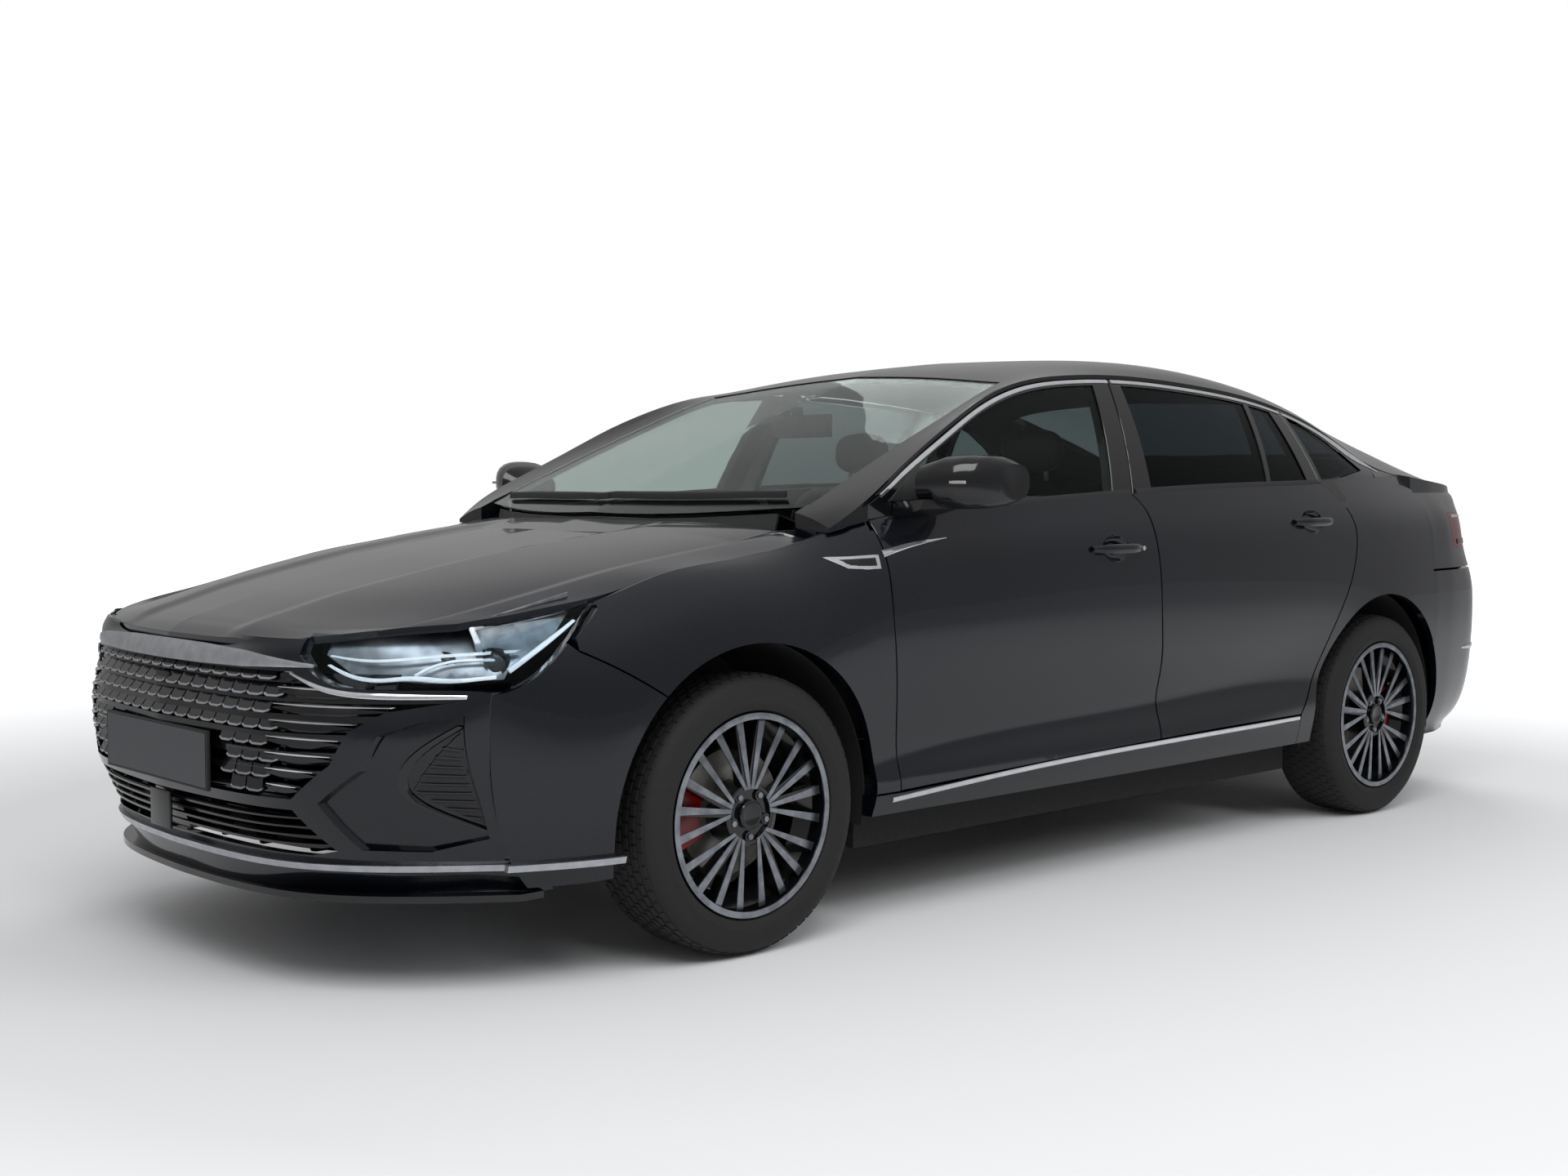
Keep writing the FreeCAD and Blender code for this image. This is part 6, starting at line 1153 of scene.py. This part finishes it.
edgeRun = bonnetReach * .9965
hoodLoop = loopOf(straight([(0, -bonnetReach), (edgeRun, -bonnetReach), (edgeRun, bonnetReach),
                            (0, bonnetReach),
                            (0, -bonnetReach)]), .016)
hoodPanel = panelData(onCreasedBonnet, hoodLoop, [], panel["bonnet"], .0005, grid=.013)
arms = [roundedBox((.998, y - .012, .905), (1.110, y + .012, .965), .004) for y in (-.66, .66)]
hood = fitted("bonnetSkin", [hoodPanel], paint, "bonnet", 26)
fitted("bonnetHinges", arms, brushedSteel, "bonnet")
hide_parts("bonnet")
print("bonnet made")

# Seam cover between the shoulder and the rear deck
rings = []
for x in np.linspace(-1.52, -2.05, 28):
    beltOut, beltZ, roofOut, roofZ = (float(v[0]) for v in beltAndRoof(np.array([x])))
    deckOut = min(beltOut, roofOut) - .05
    deckZ = float(topUp(np.array([x]), np.array([deckOut]))[0])
    rings.append([(x, beltOut - .0012, beltZ - .012), (x, beltOut - .0012, beltZ),
                  (x, roofOut - .0012, max(roofZ, beltZ) - .0008),
                  (x, deckOut, deckZ - .0006), (x, deckOut, deckZ - .022), (x, beltOut - .03, beltZ - .03)])
corner = []
for place in np.linspace(.44, 1.0, 26):
    low, edge = (np.array([float(v[0]) for v in tailSpot(np.array([place]), np.array([z]))])
                 for z in (1.048, 1.062))
    deckZ = float(topUp(edge[:1], edge[1:2])[0])
    inward = np.array([.045, -.030 if edge[1] > .70 else -.012])
    deep = edge[:2] + inward
    deepZ = float(topUp(deep[:1], deep[1:])[0])
    skin = inward / np.hypot(*inward)
    outer, under = edge[:2] + skin * .0015, low[:2] + skin * .0015
    corner.append([(*under, low[2]), (*outer, edge[2]),
                   (*(outer + skin * .004), max(deckZ, edge[2] + .001) - .0012),
                   (*deep, deepZ - .0008), (*deep, deepZ - .03), (*(under + skin * .03), low[2])])
fitted("shoulderSeams", both(loft(rings)) + both(loft(corner)), paint)

# Wipers on the foot of the windscreen
wiper = {"paths": (((1.080, -.08), (1.050, .25), (.990, .60)),
                   ((1.010, -.60), (1.050, -.30), (1.080, -.02))),
         "widths": [.010, .016, .016, .008], "rise": .014, "lift": .003}
wipers = [bar(onTop, path, wiper["widths"], wiper["rise"], -wiper["lift"]) for path in wiper["paths"]]
fitted("wipers", wipers, mattBlack)

# Seats: cushions start a little small, swell as cloth under pressure and are stopped at a cap
seat = {"aside": .370, "voxel": .008, "cap": .022, "pressure": 4, "frames": 20, "fill": .8}


def swollen(name, part, cap=None, voxel=None):
    made = meshObject(name, [part], seatLeather, smoothAngle=180)
    remesh = made.modifiers.new("even", "REMESH")
    remesh.mode, remesh.voxel_size = "VOXEL", voxel or seat["voxel"]
    graph = bpy.context.evaluated_depsgraph_get()
    mesh = bpy.data.meshes.new_from_object(made.evaluated_get(graph), depsgraph=graph)
    made.modifiers.clear()
    made.data = mesh
    count = len(mesh.vertices)
    start = np.empty(count * 3)
    mesh.vertices.foreach_get("co", start)
    start = start.reshape(-1, 3)
    cloth = made.modifiers.new("pad", "CLOTH")
    cloth.settings.use_pressure = True
    cloth.settings.uniform_pressure_force = seat["pressure"]
    cloth.settings.effector_weights.gravity = 0
    cloth.point_cache.frame_start, cloth.point_cache.frame_end = 1, seat["frames"]
    for moment in range(1, seat["frames"] + 1):
        bpy.context.scene.frame_set(moment)
    graph = bpy.context.evaluated_depsgraph_get()
    swelled = made.evaluated_get(graph).to_mesh()
    end = np.empty(count * 3)
    swelled.vertices.foreach_get("co", end)
    moved = end.reshape(-1, 3) - start
    sizes = np.linalg.norm(moved, axis=1)
    moved *= np.minimum(1, (cap or seat["cap"]) / np.maximum(sizes, 1e-9))[:, None]
    made.modifiers.clear()
    mesh.vertices.foreach_set("co", (start + moved).ravel())
    bpy.context.scene.frame_set(1)
    mesh.polygons.foreach_set("use_smooth", [True] * len(mesh.polygons))
    mesh.materials.clear()
    mesh.materials.append(seatLeather)
    finer = made.modifiers.new("smooth", "SUBSURF")
    finer.levels = finer.render_levels = 1
    return made


def ring(y, outline):
    return [(x, y, z) for x, z in outline]


def cushionForm(rear, front, low, high, halfWide, bolster, count=15):
    rings = []
    for share in np.linspace(-1, 1, count):
        top = high + bolster * max(0, (abs(share) - .55) / .45) - .018 * max(0, (abs(share) - .85) / .15)
        draw = .025 * abs(share) ** 6
        rings.append(ring(share * halfWide, (
            (rear + draw, low), (front - draw - .03, low + .01), (front - draw, low + .05),
            (front - draw - .02, top - .01), ((rear + front) / 2, top - .004), (rear + draw, top - .012))))
    return loft(rings)


def moved(part, dx, dy, dz):
    return part[0] + np.array([dx, dy, dz]), part[1]


def backForm(rearLow, frontLow, low, high, halfWide, lean, bolster, count=15):
    rings = []
    for share in np.linspace(-1, 1, count):
        grow = bolster * max(0, (abs(share) - .6) / .4)
        draw = .04 * abs(share) ** 5
        rings.append(ring(share * halfWide, (
            (rearLow, low), (frontLow + grow, low), (frontLow - lean / 2 + grow, (low + high) / 2),
            (frontLow - lean + .01, high - .06 - draw), (frontLow - lean - .02, high - draw),
            (rearLow - lean + .02, high - draw), (rearLow - lean, high - .06 - draw))))
    return loft(rings)


def mirrored(piece, name):
    mesh = piece.data.copy()
    spots = np.empty(len(mesh.vertices) * 3)
    mesh.vertices.foreach_get("co", spots)
    spots = spots.reshape(-1, 3) * np.array([1, -1, 1])
    mesh.vertices.foreach_set("co", spots.ravel())
    mesh.flip_normals()
    other = bpy.data.objects.new(name, mesh)
    bpy.context.scene.collection.objects.link(other)
    finer = other.modifiers.new("smooth", "SUBSURF")
    finer.levels = finer.render_levels = 1
    return other


headrestRings = ((-.276, .80, .80), (-.262, 1, 1), (-.228, 1, 1), (-.214, .82, .82))
seatForms = {
    "seatCushion": cushionForm(-.145, .305, .325, .425, .208, .022),
    "seatBack": backForm(-.205, -.140, .500, 1.085, .205, .0, .020),
    "headrest": loft([[(x, .112 * math.copysign(abs(math.cos(t)) ** .7, math.cos(t)) * wide,
                        1.195 + .066 * math.copysign(abs(math.sin(t)) ** .7, math.sin(t)) * high)
                       for t in np.arange(24) * math.pi / 12]
                      for x, wide, high in headrestRings]),
}
leftSeats = []
for name, form in seatForms.items():
    small = name == "headrest"
    piece = swollen(name + "_left", moved(form, 0, seat["aside"], 0), .012 if small else None,
                    .006 if small else None)
    leftSeats.append((name, piece))
benchLow, benchHigh = (corner[2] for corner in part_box("rear_bench"))
benchSeat = swollen("benchCushion",
                    cushionForm(-1.005, -.585, benchHigh - .615, benchHigh - .505, .560, .0, 25))
benchBack = swollen("benchBack",
                    backForm(-1.125, -1.055, benchHigh - .475, benchHigh - .025, .560, .0, .0, 25))
padded = [piece for _, piece in leftSeats] + [mirrored(piece, name + "_right") for name, piece in leftSeats]
for piece in padded + [benchSeat, benchBack]:
    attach(piece, "body")
bases = [roundedBox((-.110, y - .185, benchLow), (.270, y + .185, .298), .02)
         for y in (-seat["aside"], seat["aside"])]
posts = [roundedBox((-.252, y + dy - .006, 1.105), (-.240, y + dy + .006, 1.145), .003)
         for y in (-seat["aside"], seat["aside"]) for dy in (-.055, .055)]
fitted("seatBases", bases, mattBlack)
fitted("headrestPosts", posts, brushedSteel)
fitted("benchBase", [roundedBox((-1.02, -.585, benchLow), (-.575, .585, benchHigh - .645), .02)], mattBlack)
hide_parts("front_seats")
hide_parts("rear_bench")
print("seats made")

# Camera, floor and light
viewpoint = {"place": (4.17725, 4.07976, 1.10023), "yaw": -132.4249, "pitch": -3.2565, "roll": .017,
             "lens": 42.6555}
lens = bpy.data.cameras.new("camera")
lens.lens, lens.sensor_width, lens.sensor_fit = viewpoint["lens"], 36, "HORIZONTAL"
camera = bpy.data.objects.new("camera", lens)
camera.location = viewpoint["place"]
camera.rotation_euler = [math.radians(a)
                         for a in (90 + viewpoint["pitch"], viewpoint["roll"], viewpoint["yaw"] - 90)]
bpy.context.scene.collection.objects.link(camera)
bpy.context.scene.camera = camera
bpy.context.scene.view_settings.view_transform = "Standard"


world = bpy.data.worlds.new("studio")
bpy.context.scene.world = world
world.use_nodes = True
skyTree = world.node_tree
skyTree.nodes.clear()
heading = addNode(skyTree, "ShaderNodeSeparateXYZ", {},
                  {"Vector": addNode(skyTree, "ShaderNodeTexCoord").outputs["Generated"]})
climb = addNode(skyTree, "ShaderNodeMapRange",
                {"From Min": .05, "From Max": .75, "To Min": .34, "To Max": .62},
                {"Value": heading.outputs["Z"]})
daylight = addNode(skyTree, "ShaderNodeBackground", {"Color": linear("#FFFFFF")},
                   {"Strength": climb.outputs["Result"]})
backdrop = addNode(skyTree, "ShaderNodeBackground", {"Color": linear("#FFFFFF"), "Strength": 1})
chosen = addNode(skyTree, "ShaderNodeMixShader")
rays = addNode(skyTree, "ShaderNodeLightPath")
seenAsWhite = addNode(skyTree, "ShaderNodeMath", {"operation": "MAXIMUM"})
skyTree.links.new(rays.outputs["Is Camera Ray"], seenAsWhite.inputs[0])
skyTree.links.new(rays.outputs["Is Transmission Ray"], seenAsWhite.inputs[1])
skyTree.links.new(seenAsWhite.outputs["Value"], chosen.inputs[0])
skyTree.links.new(daylight.outputs[0], chosen.inputs[1])
skyTree.links.new(backdrop.outputs[0], chosen.inputs[2])
skyTree.links.new(chosen.outputs[0], addNode(skyTree, "ShaderNodeOutputWorld").inputs["Surface"])

floorMesh = bpy.data.meshes.new("floor")
floorMesh.from_pydata([(-30, -30, -.001), (30, -30, -.001), (30, 30, -.001), (-30, 30, -.001)], [],
                      [(0, 1, 2, 3)])
floor = bpy.data.objects.new("floor", floorMesh)
bpy.context.scene.collection.objects.link(floor)
floorFinish, floorTree, floorShader = finish("paleFloor", "#D9DADC", .6)
spot = addNode(floorTree, "ShaderNodeTexCoord")
middle = addNode(floorTree, "ShaderNodeVectorMath", {"operation": "LENGTH"})
floorTree.links.new(spot.outputs["Object"], middle.inputs[0])
fade = addNode(floorTree, "ShaderNodeMapRange", {"From Min": 3.0, "From Max": 8.0},
               {"Value": middle.outputs["Value"]})
seen = addNode(floorTree, "ShaderNodeMath", {"operation": "MULTIPLY"})
floorTree.links.new(fade.outputs["Result"], seen.inputs[0])
floorTree.links.new(addNode(floorTree, "ShaderNodeLightPath").outputs["Is Camera Ray"], seen.inputs[1])
floorTree.links.new(seen.outputs["Value"], floorShader.inputs["Emission Strength"])
floorShader.inputs["Emission Color"].default_value = linear("#FFFFFF")
floorMesh.materials.append(floorFinish)

for lampName, place, power, size in (("key", (3.5, 3.5, 5.5), 260, 4), ("fill", (-2, 6, 4.5), 160, 4),
                                     ("back", (-5, -3.5, 5), 200, 4)):
    light = bpy.data.lights.new(lampName, "AREA")
    light.energy, light.size = power, size
    lamp = bpy.data.objects.new(lampName, light)
    lamp.location = place
    lamp.visible_glossy = lampName == "key"
    lamp.rotation_euler = (Vector((0, 0, .6)) - Vector(place)).to_track_quat("-Z", "Y").to_euler()
    bpy.context.scene.collection.objects.link(lamp)

print("scene ready")
